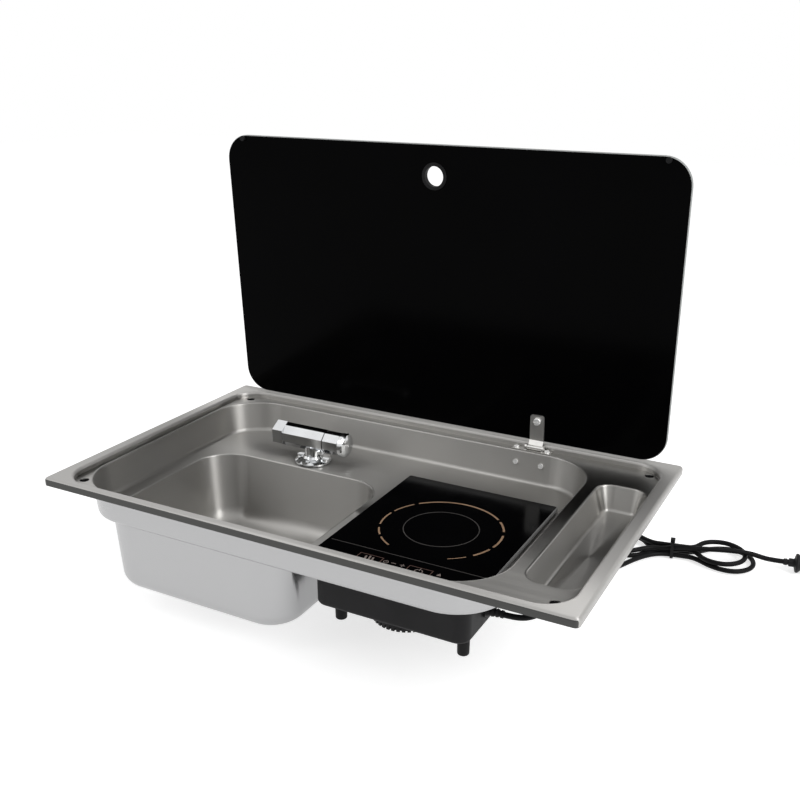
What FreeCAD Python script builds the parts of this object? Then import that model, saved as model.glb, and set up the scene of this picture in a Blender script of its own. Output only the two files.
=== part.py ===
import FreeCAD, Part
import Sketcher
import math
import os
import re

V = FreeCAD.Vector
doc = FreeCAD.newDocument("SinkHobCombo")
sheet = doc.addObject("Spreadsheet::Sheet", "dims")

# Driving sizes in millimetres and degrees.
# The origin is the centre of the worktop seat, under the lip; +Z is up and +Y is to the back.
SIZES = [
    # Rim and deck, pressed from one sheet.
    ("unit_width", 700), ("unit_depth", 422), ("unit_corner", 6),
    ("sheet_gauge", 1), ("lip_height", 10), ("flange_width", 18), ("flange_front", 12.5),
    ("step_corner", 38), ("edge_round", 4), ("step_round", 4),
    ("fix_inset_x", 35.5), ("fix_inset_y", 34), ("fix_hole", 12),
    # Pressed vessels: the land is the flat edge that is welded into the sheet above.
    ("press_land", 2.2), ("press_round", 2),
    ("tub_x", -39.5), ("tub_width", 575), ("tub_front", 8.5), ("tub_back", 14),
    ("tub_corner", 68), ("tub_depth", 44.5), ("tub_draft", 4.5), ("tub_bend", 6),
    ("bowl_left", 28.5), ("bowl_front", 12), ("bowl_back", 106), ("bowl_hob_gap", 16.5),
    ("bowl_corner", 50), ("bowl_depth", 101.5), ("bowl_draft", 3), ("bowl_bend", 20),
    ("tray_gap", 3.5), ("tray_y", -10.5), ("tray_width", 62), ("tray_length", 275),
    ("tray_corner", 20), ("tray_depth", 32), ("tray_draft", 16), ("tray_bend", 5),
    # Lid and its one hinge; the pin is the lid's own origin.
    ("lid_side", 21), ("lid_front", 5.5), ("lid_corner", 35), ("lid_gauge", 5),
    ("lid_open", 87.2), ("pin_z", 6), ("lid_rise", 8), ("lid_back", 7.5),
    ("finger_hole", 26), ("finger_ring", 35), ("finger_inset", 40), ("ring_lip", 1.5),
    ("grommet_wall", 2), ("grommet_play", 0.2),
    ("hinge_right", 94), ("strap_width", 20), ("strap_gauge", 2), ("strap_length", 38),
    ("knuckle_dia", 6.4), ("pin_dia", 3), ("pin_play", 0.08), ("hinge_play", 0.4),
    ("ear_gauge", 3), ("bracket_gauge", 1.5), ("bracket_depth", 12), ("bracket_gap", 1), ("screw_left", 26),
    ("screw_right", 18), ("wall_left", 23.5), ("wall_right", 13), ("stiffener_drop", 25), ("stiffener_gap", 0.2),
    ("bolt_dia", 5), ("bolt_head", 10), ("bolt_head_height", 3), ("bolt_inset", 9),
    ("nut_dia", 12), ("nut_height", 5), ("bolt_play", 0.4), ("wall_screw_drop", 16.5),
    ("hinge_screw", 3.4), ("hinge_screw_head", 7), ("screw_play", 0.3),
    ("pad_dia", 7), ("pad_inset", 4.5), ("pad_side", 29), ("pad_gap", 0.2),
    # Bar tap on the floor of the tub.
    ("tap_aside", 5.75), ("tap_back", 78), ("tap_axis", 35), ("tap_hole", 22), ("tap_base_dia", 52),
    ("gasket_gauge", 1.5), ("tap_base_height", 11), ("tap_bar", 31), ("tap_half", 61),
    ("tap_barrel_left", 42), ("tap_barrel_right", 24), ("tap_neck", 24), ("tap_play", 0.3),
    ("knob_dia", 35), ("knob_flats", 30), ("knob_disc", 12), ("knob_gap", 1), ("cartridge_dia", 18), ("stem_dia", 9), ("shank_dia", 20),
    ("shank_length", 45), ("tail_dia", 16.6), ("tail_length", 18), ("shank_bore", 10), ("backnut_flats", 30), ("backnut_height", 9),
    ("outlet_flats", 33), ("aerator_dia", 18), ("aerator_depth", 8),
    # Waste fitting in the floor of the bowl.
    ("waste_flange", 80), ("waste_hole", 60), ("strainer_depth", 10), ("strainer_gauge", 1.2),
    ("waste_gasket_gauge", 2), ("waste_wall", 3), ("waste_cup", 15), ("spigot_dia", 28),
    ("spigot_wall", 2), ("waste_drop", 35), ("waste_screw", 6), ("strainer_hole", 6),
    # Induction hob, let into the floor of the tub.
    ("hob_right", 30.5), ("hob_y", -28.5), ("plate_x", 4), ("plate_y", 8.5), ("hob_width", 216), ("hob_length", 262), ("hob_corner", 4),
    ("hob_glass_gauge", 5), ("hob_seal_gauge", 1.5), ("seal_inset", 1), ("plate_lap_x", 8),
    ("plate_lap_y", 13.5), ("case_corner", 16), ("case_depth", 61.5), ("case_wall", 2.5),
    ("case_round", 5), ("case_gap", 1), ("foot_dia", 15), ("foot_height", 24),
    ("foot_side_left", 25.5), ("foot_side_right", 12.5), ("foot_end", 23),
    ("vent_width", 4), ("vent_height", 26), ("vent_pitch", 9), ("vent_count", 14), ("vent_drop", 40),
    ("fan_x", 1.5), ("fan_y", -69), ("guard_dia", 84), ("guard_wall", 3), ("guard_height", 10),
    ("grille_gauge", 2), ("guard_teeth", 40), ("tooth_gap", 2.4), ("tooth_height", 5),
    ("fan_hole", 76), ("motor_dia", 28), ("motor_height", 15), ("fan_shaft", 4), ("rotor_dia", 68),
    ("rotor_hub", 36), ("rotor_height", 16), ("blade_gauge", 1.6), ("blade_count", 9), ("fan_play", 1),
    ("coil_x", 6.5), ("coil_y", 11.25), ("coil_margin", 4), ("coil_bore", 50), ("coil_gauge", 4),
    ("coil_gap", 2), ("former_gap", 16), ("former_gauge", 2.5), ("former_leg", 10),
    ("leg_inset", 9), ("leg_gap", 0.5), ("ferrite_width", 10), ("ferrite_gauge", 5),
    ("ferrite_count", 6), ("sensor_dia", 10), ("board_gauge", 1.6), ("board_side", 7.5), ("board_y", 57),
    ("board_width", 80), ("board_length", 105), ("standoff", 6), ("sink_width", 60),
    ("sink_length", 50), ("sink_base", 4), ("sink_height", 22), ("fin_gauge", 1.6), ("fin_count", 8),
    ("panel_y", -91.5), ("panel_width", 150), ("panel_length", 34), ("panel_drop", 10), ("spring_dia", 6),
    ("spring_pitch", 28), ("spring_count", 5),
    ("clamp_width", 20), ("clamp_gauge", 2), ("clamp_height", 18), ("clamp_reach", 12),
    ("clamp_span", 120),
    # Mains cord, its gland and its plug.
    ("cord_dia", 7), ("gland_y", -62.5), ("gland_drop", 41.5), ("gland_flange", 18),
    ("gland_flange_gauge", 3), ("gland_dia", 13), ("gland_length", 22), ("gland_hole", 12),
    ("floor_z", -180), ("hank_gap", 0.6), ("hank_turn", 11), ("hank_x", 326), ("hank_y", 325),
    ("hank_start", 3), ("waist_length", 34), ("lobe_long", 114), ("lobe_short", 102), ("lobe_radius", 34),
    ("tie_gauge", 1.4), ("tie_width", 4.5), ("plug_length", 42), ("plug_dia", 28),
    ("plug_neck", 14), ("plug_neck_dia", 12), ("plug_pin", 4.8),
    ("plug_pin_length", 19), ("plug_pin_pitch", 19),
]

row = 0
for alias, value in SIZES:
    row += 1
    sheet.set("A%d" % row, alias)
    sheet.set("B%d" % row, str(value))
    sheet.setAlias("B%d" % row, alias)
doc.recompute()
NAMES = [alias for alias, value in SIZES]

# Lengths and places that follow from the sizes above and their clearances.
FOLLOWS = {
    "fix_span_x": "unit_width - 2 * fix_inset_x",
    "fix_span_y": "unit_depth - 2 * fix_inset_y",
    "step_width": "unit_width - 2 * flange_width",
    "step_length": "unit_depth - flange_width - flange_front",
    "step_y": "(flange_front - flange_width) / 2",
    "tub_length": "step_length - tub_front - tub_back",
    "tub_y": "step_y + (tub_front - tub_back) / 2",
    "tray_x": "step_width / 2 - tray_gap - tray_width / 2",
    "bowl_width": "tub_width - bowl_left - bowl_hob_gap - hob_width - hob_right",
    "bowl_length": "tub_length - bowl_front - bowl_back",
    "bowl_x": "tub_x - tub_width / 2 + bowl_left + bowl_width / 2",
    "bowl_y": "tub_y - tub_length / 2 + bowl_front + bowl_length / 2",
    "lid_width": "unit_width - 2 * lid_side",
    "lid_depth": "pin_y - lid_back + unit_depth / 2 - lid_front",
    "pin_y": "unit_depth / 2 - flange_width - bracket_gap - bracket_depth / 2",
    "pad_span": "lid_width - 2 * pad_side",
    "hinge_x": "tub_x + tub_width / 2 - hinge_right",
    "tap_x": "bowl_x + tap_aside",
    "tap_y": "tub_y + tub_length / 2 - tap_back",
    "case_width": "hob_width - 2 * plate_lap_x",
    "case_length": "hob_length - 2 * plate_lap_y",
    "foot_left": "case_width / 2 - foot_side_left",
    "foot_right": "case_width / 2 - foot_side_right",
    "foot_reach": "case_length / 2 - foot_end",
    "former_dia": "case_width - 2 * former_gap",
    "coil_dia": "former_dia - 2 * coil_margin",
    "former_leg_reach": "former_dia / 2 - leg_inset",
    "ferrite_length": "former_leg_reach - former_leg / 2 - leg_gap - coil_bore / 2",
    "board_x": "case_wall + board_side + board_width / 2 - case_width / 2",
    "hob_x": "tub_x + tub_width / 2 - hob_right - hob_width / 2 - plate_x",
}


def bind(text):
    """Turn a formula written with the sheet's names into an expression."""
    def swap(match):
        word = match.group()
        if word in FOLLOWS:
            return "(" + bind(FOLLOWS[word]) + ")"
        return "dims." + word if word in NAMES else word
    return re.sub(r"[a-z_][a-z_0-9]*", swap, text)


def size(text):
    """Work out a formula written with the sheet's names."""
    return float(sheet.evalExpression(bind(text)))


def tie(obj, path, text):
    """Bind one property to a formula."""
    obj.setExpression(path, bind(text))


def new_body(label, x="0", y="0", z="0"):
    """An empty body whose own origin stands at the given place."""
    body = doc.addObject("PartDesign::Body", label)
    body.Label = label
    body.AllowCompound = True
    tie(body, "Placement.Base.x", x)
    tie(body, "Placement.Base.y", y)
    tie(body, "Placement.Base.z", z)
    return body


def sketch_on(body, name, role="XY_Plane", x="0", y="0", z="0"):
    """A sketch on one of the body's planes, moved in it by x and y and off it by z."""
    sk = body.newObject("Sketcher::SketchObject", body.Label + "_" + name)
    origin = [f for f in body.Origin.OriginFeatures if f.Role == role][0]
    sk.AttachmentSupport = (origin, [""])
    sk.MapMode = "FlatFace"
    tie(sk, "AttachmentOffset.Base.x", x)
    tie(sk, "AttachmentOffset.Base.y", y)
    tie(sk, "AttachmentOffset.Base.z", z)
    return sk


def constrain(sk, constraint, text):
    """Add a sized constraint and bind it to a formula."""
    number = sk.addConstraint(constraint)
    sk.renameConstraint(number, "size%d" % number)
    tie(sk, "Constraints.size%d" % number, text)


def add_rounded(sk, width, length, corner):
    """A rectangle with round corners, centred on the sketch's origin."""
    a, b, c = size(width) / 2, size(length) / 2, size(corner)
    q = math.pi / 2
    n = sk.GeometryCount
    up = V(0, 0, 1)
    sk.addGeometry([
        Part.LineSegment(V(c - a, -b, 0), V(a - c, -b, 0)),
        Part.ArcOfCircle(Part.Circle(V(a - c, c - b, 0), up, c), -q, 0),
        Part.LineSegment(V(a, c - b, 0), V(a, b - c, 0)),
        Part.ArcOfCircle(Part.Circle(V(a - c, b - c, 0), up, c), 0, q),
        Part.LineSegment(V(a - c, b, 0), V(c - a, b, 0)),
        Part.ArcOfCircle(Part.Circle(V(c - a, b - c, 0), up, c), q, 2 * q),
        Part.LineSegment(V(-a, b - c, 0), V(-a, c - b, 0)),
        Part.ArcOfCircle(Part.Circle(V(c - a, c - b, 0), up, c), 2 * q, 3 * q),
    ], False)
    for k in range(8):
        sk.addConstraint(Sketcher.Constraint("Tangent", n + k, 2, n + (k + 1) % 8, 1))
    for k in (0, 4):
        sk.addConstraint(Sketcher.Constraint("Horizontal", n + k))
    for k in (2, 6):
        sk.addConstraint(Sketcher.Constraint("Vertical", n + k))
    for k in (3, 5, 7):
        sk.addConstraint(Sketcher.Constraint("Equal", n + 1, n + k))
    sk.addConstraint(Sketcher.Constraint("Symmetric", n + 1, 3, n + 5, 3, -1, 1))
    constrain(sk, Sketcher.Constraint("DistanceX", n + 6, 1, n + 2, 1, 2 * a), width)
    constrain(sk, Sketcher.Constraint("DistanceY", n + 0, 1, n + 4, 1, 2 * b), length)
    constrain(sk, Sketcher.Constraint("Radius", n + 1, c), corner)


def add_circle(sk, dia, x="0", y="0"):
    """A circle at a place of its own in the sketch."""
    n = sk.GeometryCount
    sk.addGeometry(Part.Circle(V(size(x), size(y), 0), V(0, 0, 1), size(dia) / 2), False)
    constrain(sk, Sketcher.Constraint("Diameter", n, size(dia)), dia)
    constrain(sk, Sketcher.Constraint("DistanceX", -1, 1, n, 3, size(x)), x)
    constrain(sk, Sketcher.Constraint("DistanceY", -1, 1, n, 3, size(y)), y)


def add_polygon(sk, points):
    """A closed outline whose every corner is bound to a pair of formulas."""
    n = sk.GeometryCount
    places = [V(size(x), size(y), 0) for x, y in points]
    count = len(points)
    for k in range(count):
        sk.addGeometry(Part.LineSegment(places[k], places[(k + 1) % count]), False)
    for k in range(count):
        sk.addConstraint(Sketcher.Constraint("Coincident", n + k, 2, n + (k + 1) % count, 1))
    for k, (x, y) in enumerate(points):
        constrain(sk, Sketcher.Constraint("DistanceX", -1, 1, n + k, 1, places[k].x), x)
        constrain(sk, Sketcher.Constraint("DistanceY", -1, 1, n + k, 1, places[k].y), y)


def add_box(sk, width, length, x="0", y="0"):
    """A plain rectangle centred on a place in the sketch."""
    w, h = "(%s) / 2" % width, "(%s) / 2" % length
    add_polygon(sk, [("%s - %s" % (x, w), "%s - %s" % (y, h)), ("%s + %s" % (x, w), "%s - %s" % (y, h)),
                     ("%s + %s" % (x, w), "%s + %s" % (y, h)), ("%s - %s" % (x, w), "%s + %s" % (y, h))])


def pad(body, sk, length, down=False, taper=None, both=False):
    """Raise a sketch; down turns the direction round and taper leans the walls in."""
    feature = body.newObject("PartDesign::Pad", sk.Name + "_pad")
    feature.Profile = sk
    feature.Reversed = down
    feature.Midplane = both
    tie(feature, "Length", length)
    if taper:
        tie(feature, "TaperAngle", "-(%s)" % taper)
    doc.recompute()
    return feature


def pocket(body, sk, length=None, up=False, taper=None, both=False):
    """Cut a sketch to a depth, or through everything when no depth is given."""
    before = body.Shape.Volume
    feature = body.newObject("PartDesign::Pocket", sk.Name + "_cut")
    feature.Profile = sk
    feature.Reversed = up
    feature.Midplane = both
    if length:
        tie(feature, "Length", length)
    else:
        feature.Type = 1
    if taper:
        tie(feature, "TaperAngle", "-(%s)" % taper)
    doc.recompute()
    if not body.Shape.Volume < before - 1e-6:
        raise RuntimeError(feature.Name + " cuts nothing")
    return feature


def revolve(body, sk, axis):
    """Turn a profile about one of its sketch's axes."""
    feature = body.newObject("PartDesign::Revolution", sk.Name + "_turn")
    feature.Profile = sk
    feature.ReferenceAxis = (sk, [axis])
    feature.Angle = 360
    doc.recompute()
    return feature


def polar(body, feature, count):
    """Repeat a feature about the body's Z axis."""
    pattern = body.newObject("PartDesign::PolarPattern", feature.Name + "_ring")
    pattern.Originals = [feature]
    axis = [f for f in body.Origin.OriginFeatures if f.Role == "Z_Axis"][0]
    pattern.Axis = (axis, [""])
    pattern.Angle = 360
    tie(pattern, "Occurrences", count)
    body.Tip = pattern
    doc.recompute()
    return pattern


def row_of(body, feature, role, length, count):
    """Repeat a feature in a straight row."""
    pattern = body.newObject("PartDesign::LinearPattern", feature.Name + "_row")
    pattern.Originals = [feature]
    axis = [f for f in body.Origin.OriginFeatures if f.Role == role][0]
    pattern.Direction = (axis, [""])
    tie(pattern, "Length", length)
    tie(pattern, "Occurrences", count)
    body.Tip = pattern
    doc.recompute()
    return pattern


def level_edges(body, z, x=0.0, y=0.0, inside=None, outside=None):
    """Names of the level edges at a height, inside or outside a box about a centre."""
    found = []
    for k, edge in enumerate(body.Tip.Shape.Edges):
        box = edge.BoundBox
        if abs(box.ZMin - z) > 0.01 or abs(box.ZMax - z) > 0.01:
            continue
        reach = max(abs(box.XMin - x), abs(box.XMax - x)), max(abs(box.YMin - y), abs(box.YMax - y))
        fits = inside is None or (reach[0] < inside[0] and reach[1] < inside[1])
        clears = outside is None or not (reach[0] < outside[0] and reach[1] < outside[1])
        if fits and clears:
            found.append("Edge%d" % (k + 1))
    return found


def fillet(body, edges, radius):
    """Round the named edges of the body's last feature."""
    feature = body.newObject("PartDesign::Fillet", body.Label + "_fillet")
    feature.Base = (body.Tip if body.Tip != feature else feature.BaseFeature, edges)
    tie(feature, "Radius", radius)
    doc.recompute()
    return feature


def chamfer(body, edges, width):
    """Bevel the named edges of the body's last feature."""
    feature = body.newObject("PartDesign::Chamfer", body.Label + "_chamfer")
    feature.Base = (body.Tip if body.Tip != feature else feature.BaseFeature, edges)
    tie(feature, "Size", width)
    doc.recompute()
    return feature


DECK = "sheet_gauge"
TUB_FLOOR = "(sheet_gauge - tub_depth)"
BOWL_FLOOR = "(sheet_gauge - tub_depth - bowl_depth)"

# Rim and deck: a raised flange with a turned-down lip, and a deck sunk inside it.
rim = new_body("rim_deck")
sk = sketch_on(rim, "outline")
add_rounded(sk, "unit_width", "unit_depth", "unit_corner")
pad(rim, sk, "lip_height")
half = (size("step_width / 2 + flange_width / 2"), size("step_length / 2 - step_y + flange_front / 2"))
sk = sketch_on(rim, "under_flange")
add_rounded(sk, "unit_width - 2 * sheet_gauge", "unit_depth - 2 * sheet_gauge", "unit_corner - sheet_gauge")
pocket(rim, sk, "lip_height - sheet_gauge", up=True)
fillet(rim, level_edges(rim, size("lip_height - sheet_gauge")), "edge_round - sheet_gauge")
sk = sketch_on(rim, "under_step", y="step_y")
add_rounded(sk, "step_width + 2 * sheet_gauge", "step_length + 2 * sheet_gauge", "step_corner + sheet_gauge")
pad(rim, sk, "lip_height")
fillet(rim, level_edges(rim, size("lip_height - sheet_gauge"), inside=half), "step_round - sheet_gauge")
sk = sketch_on(rim, "step", y="step_y", z="lip_height")
add_rounded(sk, "step_width", "step_length", "step_corner")
pocket(rim, sk, "lip_height - sheet_gauge")
fillet(rim, level_edges(rim, size("lip_height"), outside=half), "edge_round")
fillet(rim, level_edges(rim, size("lip_height"), inside=half), "step_round")
sk = sketch_on(rim, "tub_opening", x="tub_x", y="tub_y", z=DECK)
add_rounded(sk, "tub_width + 2 * press_land", "tub_length + 2 * press_land", "tub_corner + press_land")
pocket(rim, sk, "sheet_gauge")
sk = sketch_on(rim, "tray_opening", x="tray_x", y="tray_y", z=DECK)
add_rounded(sk, "tray_width + 2 * press_land", "tray_length + 2 * press_land", "tray_corner + press_land")
pocket(rim, sk, "sheet_gauge")
sk = sketch_on(rim, "fixing_holes", z=DECK)
for sx in ("-", ""):
    for sy in ("-", ""):
        add_circle(sk, "fix_hole", sx + "fix_span_x / 2", sy + "fix_span_y / 2")
DECK_SCREWS = ("hinge_x - screw_left", "hinge_x + screw_right")
for at in DECK_SCREWS:
    add_circle(sk, "hinge_screw + 2 * screw_play", at, "pin_y")
pocket(rim, sk, "sheet_gauge")


def press(label, x, y, top, width, length, corner, depth, draft, bend):
    """A vessel pressed from sheet: a welded land, a rounded edge, leaning walls and a bent floor."""
    body = new_body(label)
    cx, cy, zt = size(x), size(y), size(top)
    sk = sketch_on(body, "land", x=x, y=y, z=top)
    add_rounded(sk, width + " + 2 * press_land", length + " + 2 * press_land", corner + " + press_land")
    pad(body, sk, "sheet_gauge", down=True)
    sk = sketch_on(body, "outside", x=x, y=y, z=top)
    add_rounded(sk, width + " + 2 * sheet_gauge", length + " + 2 * sheet_gauge", corner + " + sheet_gauge")
    pad(body, sk, depth + " + sheet_gauge", down=True, taper=draft)
    throat = (size(width + " / 2 + press_land - 0.5"), size(length + " / 2 + press_land - 0.5"))
    fillet(body, level_edges(body, zt - size("sheet_gauge"), cx, cy, inside=throat), "press_round - sheet_gauge")
    sk = sketch_on(body, "inside", x=x, y=y, z=top)
    add_rounded(sk, width, length, corner)
    pocket(body, sk, depth, taper=draft)
    fillet(body, level_edges(body, zt - size(depth), cx, cy), bend)
    fillet(body, level_edges(body, zt - size(depth + " + sheet_gauge"), cx, cy), bend + " + sheet_gauge")
    fillet(body, level_edges(body, zt, cx, cy, inside=throat), "press_round")
    return body


# Tub: the wide shallow well, with openings for the bowl, the hob and the tap.
tub = press("tub", "tub_x", "tub_y", DECK, "tub_width", "tub_length", "tub_corner",
            "tub_depth", "tub_draft", "tub_bend")
sk = sketch_on(tub, "bowl_opening", x="bowl_x", y="bowl_y", z=TUB_FLOOR)
add_rounded(sk, "bowl_width + 2 * press_land", "bowl_length + 2 * press_land", "bowl_corner + press_land")
pocket(tub, sk, "sheet_gauge")
sk = sketch_on(tub, "hob_opening", x="hob_x", y="hob_y", z=TUB_FLOOR)
add_rounded(sk, "case_width + 2 * case_gap", "case_length + 2 * case_gap", "case_corner + case_gap")
pocket(tub, sk, "sheet_gauge")
sk = sketch_on(tub, "tap_hole", z=TUB_FLOOR)
add_circle(sk, "tap_hole", "tap_x", "tap_y")
pocket(tub, sk, "sheet_gauge")

# Bowl: the deep basin, with its waste hole.
bowl = press("bowl", "bowl_x", "bowl_y", TUB_FLOOR, "bowl_width", "bowl_length", "bowl_corner",
             "bowl_depth", "bowl_draft", "bowl_bend")
sk = sketch_on(bowl, "waste_hole", z=BOWL_FLOOR)
add_circle(sk, "waste_hole", "bowl_x", "bowl_y")
pocket(bowl, sk, "sheet_gauge")

# Tray: the narrow trough with slanted walls at the right of the deck.
tray = press("tray", "tray_x", "tray_y", DECK, "tray_width", "tray_length", "tray_corner",
             "tray_depth", "tray_draft", "tray_bend")


def lid_body(label):
    """A body of the lid: its origin is on the hinge pin and it is turned up to the open pose."""
    body = new_body(label, "0", "pin_y", "pin_z")
    body.Placement = FreeCAD.Placement(V(0, size("pin_y"), size("pin_z")),
                                       FreeCAD.Rotation(V(1, 0, 0), -size("lid_open")))
    return body


LID_MID = "-(lid_back + lid_depth / 2)"
BOLT_Y = "-(lid_back + strap_length - bolt_inset)"

# Lid: one sheet of glass with a finger hole near its free edge.
lid = lid_body("lid_glass")
sk = sketch_on(lid, "outline", y=LID_MID, z="lid_rise")
add_rounded(sk, "lid_width", "lid_depth", "lid_corner")
add_circle(sk, "finger_hole + 2 * grommet_wall + 2 * grommet_play", "0", "finger_inset - lid_depth / 2")
add_circle(sk, "bolt_dia + 2 * bolt_play", "hinge_x", "lid_depth / 2 - strap_length + bolt_inset")
pad(lid, sk, "lid_gauge")
middle = size(LID_MID)
core = (size("lid_width / 2 - lid_corner"), size("lid_depth / 2 - 5"))
edges = level_edges(lid, size("lid_rise"), 0, middle, outside=core)
edges += level_edges(lid, size("lid_rise + lid_gauge"), 0, middle, outside=core)
chamfer(lid, edges, "lid_gauge / 6")

# Finger ring: a flanged grommet that lines the hole.
ring = lid_body("finger_grommet")
RING_Y = "-(lid_back + lid_depth - finger_inset)"
for name, dia, start, height in (
        ("inner_lip", "finger_ring", "lid_rise - ring_lip", "ring_lip"),
        ("sleeve", "finger_hole + 2 * grommet_wall", "lid_rise", "lid_gauge"),
        ("outer_lip", "finger_ring", "lid_rise + lid_gauge", "ring_lip")):
    sk = sketch_on(ring, name, z=start)
    add_circle(sk, dia, "0", RING_Y)
    add_circle(sk, "finger_hole", "0", RING_Y)
    pad(ring, sk, height)
outer = level_edges(ring, size("lid_rise - ring_lip")) + level_edges(ring, size("lid_rise + lid_gauge + ring_lip"))
fillet(ring, outer, "ring_lip / 2.5")

# Rest pads: they meet the flange when the lid is shut.
pads = lid_body("lid_pads")
sk = sketch_on(pads, "pair", z="lid_rise")
for side in ("-", ""):
    add_circle(sk, "pad_dia", side + "pad_span / 2", "pad_inset - lid_back - lid_depth")
pad(pads, sk, "pin_z + lid_rise - lip_height - pad_gap", down=True)

# Hinge strap: a plate on the glass, cranked down to a knuckle round the pin.
strap = lid_body("hinge_strap")
STRAP_X = "hinge_x - strap_width / 2"
sk = sketch_on(strap, "crank", "YZ_Plane", z=STRAP_X)
add_polygon(sk, [("-(lid_back + strap_length)", "lid_rise"), ("0.5 - lid_back", "lid_rise"),
                 ("knuckle_dia / 2", "0"), ("0", "0"),
                 ("-lid_back - strap_gauge / 2", "lid_rise - strap_gauge"),
                 ("-(lid_back + strap_length)", "lid_rise - strap_gauge")])
pad(strap, sk, "strap_width")
sk = sketch_on(strap, "knuckle", "YZ_Plane", z=STRAP_X)
add_circle(sk, "knuckle_dia")
pad(strap, sk, "strap_width")
sk = sketch_on(strap, "bore", "YZ_Plane", z="hinge_x")
add_circle(sk, "pin_dia + 2 * pin_play")
pocket(strap, sk, "strap_width + 2", both=True)
sk = sketch_on(strap, "bolt_hole", z="lid_rise - strap_gauge / 2")
add_circle(sk, "bolt_dia + 2 * bolt_play", "hinge_x", BOLT_Y)
pocket(strap, sk, "2 * strap_gauge", both=True)
tips = []
for k, edge in enumerate(strap.Tip.Shape.Edges):
    box = edge.BoundBox
    if box.YMax < -size("lid_back + strap_length") + 0.01 and box.ZLength > 1 and box.XLength < 0.01:
        tips.append("Edge%d" % (k + 1))
fillet(strap, tips, "strap_width / 5")

# Strap bolt: a slotted pan head on the strap, with its shank through the glass.
bolt = lid_body("strap_bolt")
sk = sketch_on(bolt, "head", z="lid_rise - strap_gauge")
add_circle(sk, "bolt_head", "hinge_x", BOLT_Y)
pad(bolt, sk, "bolt_head_height", down=True)
fillet(bolt, level_edges(bolt, size("lid_rise - strap_gauge - bolt_head_height")), "bolt_head_height / 3")
sk = sketch_on(bolt, "shank", z="lid_rise - strap_gauge")
add_circle(sk, "bolt_dia", "hinge_x", BOLT_Y)
pad(bolt, sk, "strap_gauge + lid_gauge + nut_height / 2")
sk = sketch_on(bolt, "slot", z="lid_rise - strap_gauge - bolt_head_height")
add_box(sk, "1.5 * bolt_head", "bolt_head / 7", "hinge_x", BOLT_Y)
pocket(bolt, sk, "bolt_head_height / 2", up=True)

# Strap nut: a cap nut on the outside of the lid.
nut = lid_body("strap_nut")
sk = sketch_on(nut, "cap", z="lid_rise + lid_gauge")
add_circle(sk, "nut_dia", "hinge_x", BOLT_Y)
pad(nut, sk, "nut_height")
fillet(nut, level_edges(nut, size("lid_rise + lid_gauge + nut_height")), "nut_height / 3")
sk = sketch_on(nut, "thread", z="lid_rise + lid_gauge")
add_circle(sk, "bolt_dia", "hinge_x", BOLT_Y)
pocket(nut, sk, "nut_height / 2", up=True)

# Hinge bracket: a plate on the deck with two ears for the pin.
TUB_BACK = "(tub_y + tub_length / 2)"
STEP_BACK = "(unit_depth / 2 - flange_width)"
bracket = new_body("hinge_bracket")
sk = sketch_on(bracket, "plate", "YZ_Plane", z="hinge_x + (screw_right - screw_left) / 2")
add_polygon(sk, [(STEP_BACK + " - bracket_gap - bracket_depth", DECK), (STEP_BACK + " - bracket_gap", DECK),
                 (STEP_BACK + " - bracket_gap", "sheet_gauge + bracket_gauge"),
                 (STEP_BACK + " - bracket_gap - bracket_depth", "sheet_gauge + bracket_gauge")])
pad(bracket, sk, "screw_left + screw_right + hinge_screw_head + 4", both=True)
for name, x in (("ear_left", "hinge_x - strap_width / 2 - hinge_play - ear_gauge"),
                ("ear_right", "hinge_x + strap_width / 2 + hinge_play")):
    sk = sketch_on(bracket, name, "YZ_Plane", z=x)
    add_polygon(sk, [("pin_y - knuckle_dia / 2 - 1", DECK), ("pin_y + knuckle_dia / 2 + 1", DECK),
                     ("pin_y + knuckle_dia / 2 + 1", "pin_z"), ("pin_y - knuckle_dia / 2 - 1", "pin_z")])
    pad(bracket, sk, "ear_gauge")
    sk = sketch_on(bracket, name + "_round", "YZ_Plane", z=x)
    add_circle(sk, "knuckle_dia + 2", "pin_y", "pin_z")
    pad(bracket, sk, "ear_gauge")
sk = sketch_on(bracket, "pin_bore", "YZ_Plane", z="hinge_x")
add_circle(sk, "pin_dia", "pin_y", "pin_z")
pocket(bracket, sk, "2 * strap_width", both=True)
sk = sketch_on(bracket, "deck_screws", z="sheet_gauge + bracket_gauge / 2")
for at in DECK_SCREWS:
    add_circle(sk, "hinge_screw + 2 * screw_play", at, "pin_y")
pocket(bracket, sk, "2 * bracket_gauge", both=True)

# Hinge stiffener: an angle under the deck and behind the leaning back wall of the tub.
WALL = TUB_BACK + " + sheet_gauge + stiffener_gap - (sheet_gauge + %s) * tan(tub_draft)"
WALL_SCREWS = ("hinge_x - wall_left", "hinge_x + wall_right")
WALL_SCREW_Z = "sheet_gauge - wall_screw_drop"
stiffener = new_body("hinge_stiffener")
sk = sketch_on(stiffener, "angle", "YZ_Plane", z="hinge_x + (screw_right - screw_left) / 2")
add_polygon(sk, [(WALL % "2.5", "-2.5"), (TUB_BACK + " + press_land", "0"), (STEP_BACK + " - 1.5", "0"),
                 (STEP_BACK + " - 1.5", "-bracket_gauge"), (TUB_BACK + " + press_land + 1.1", "-bracket_gauge"),
                 (WALL % "2.9" + " + bracket_gauge", "-2.9"),
                 (WALL % "stiffener_drop" + " + bracket_gauge", "-stiffener_drop"),
                 (WALL % "stiffener_drop", "-stiffener_drop")])
pad(stiffener, sk, "screw_left + screw_right + 12", both=True)
sk = sketch_on(stiffener, "deck_screws", z="-bracket_gauge / 2")
for at in DECK_SCREWS:
    add_circle(sk, "hinge_screw + 2 * screw_play", at, "pin_y")
pocket(stiffener, sk, "2 * bracket_gauge", both=True)
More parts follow.
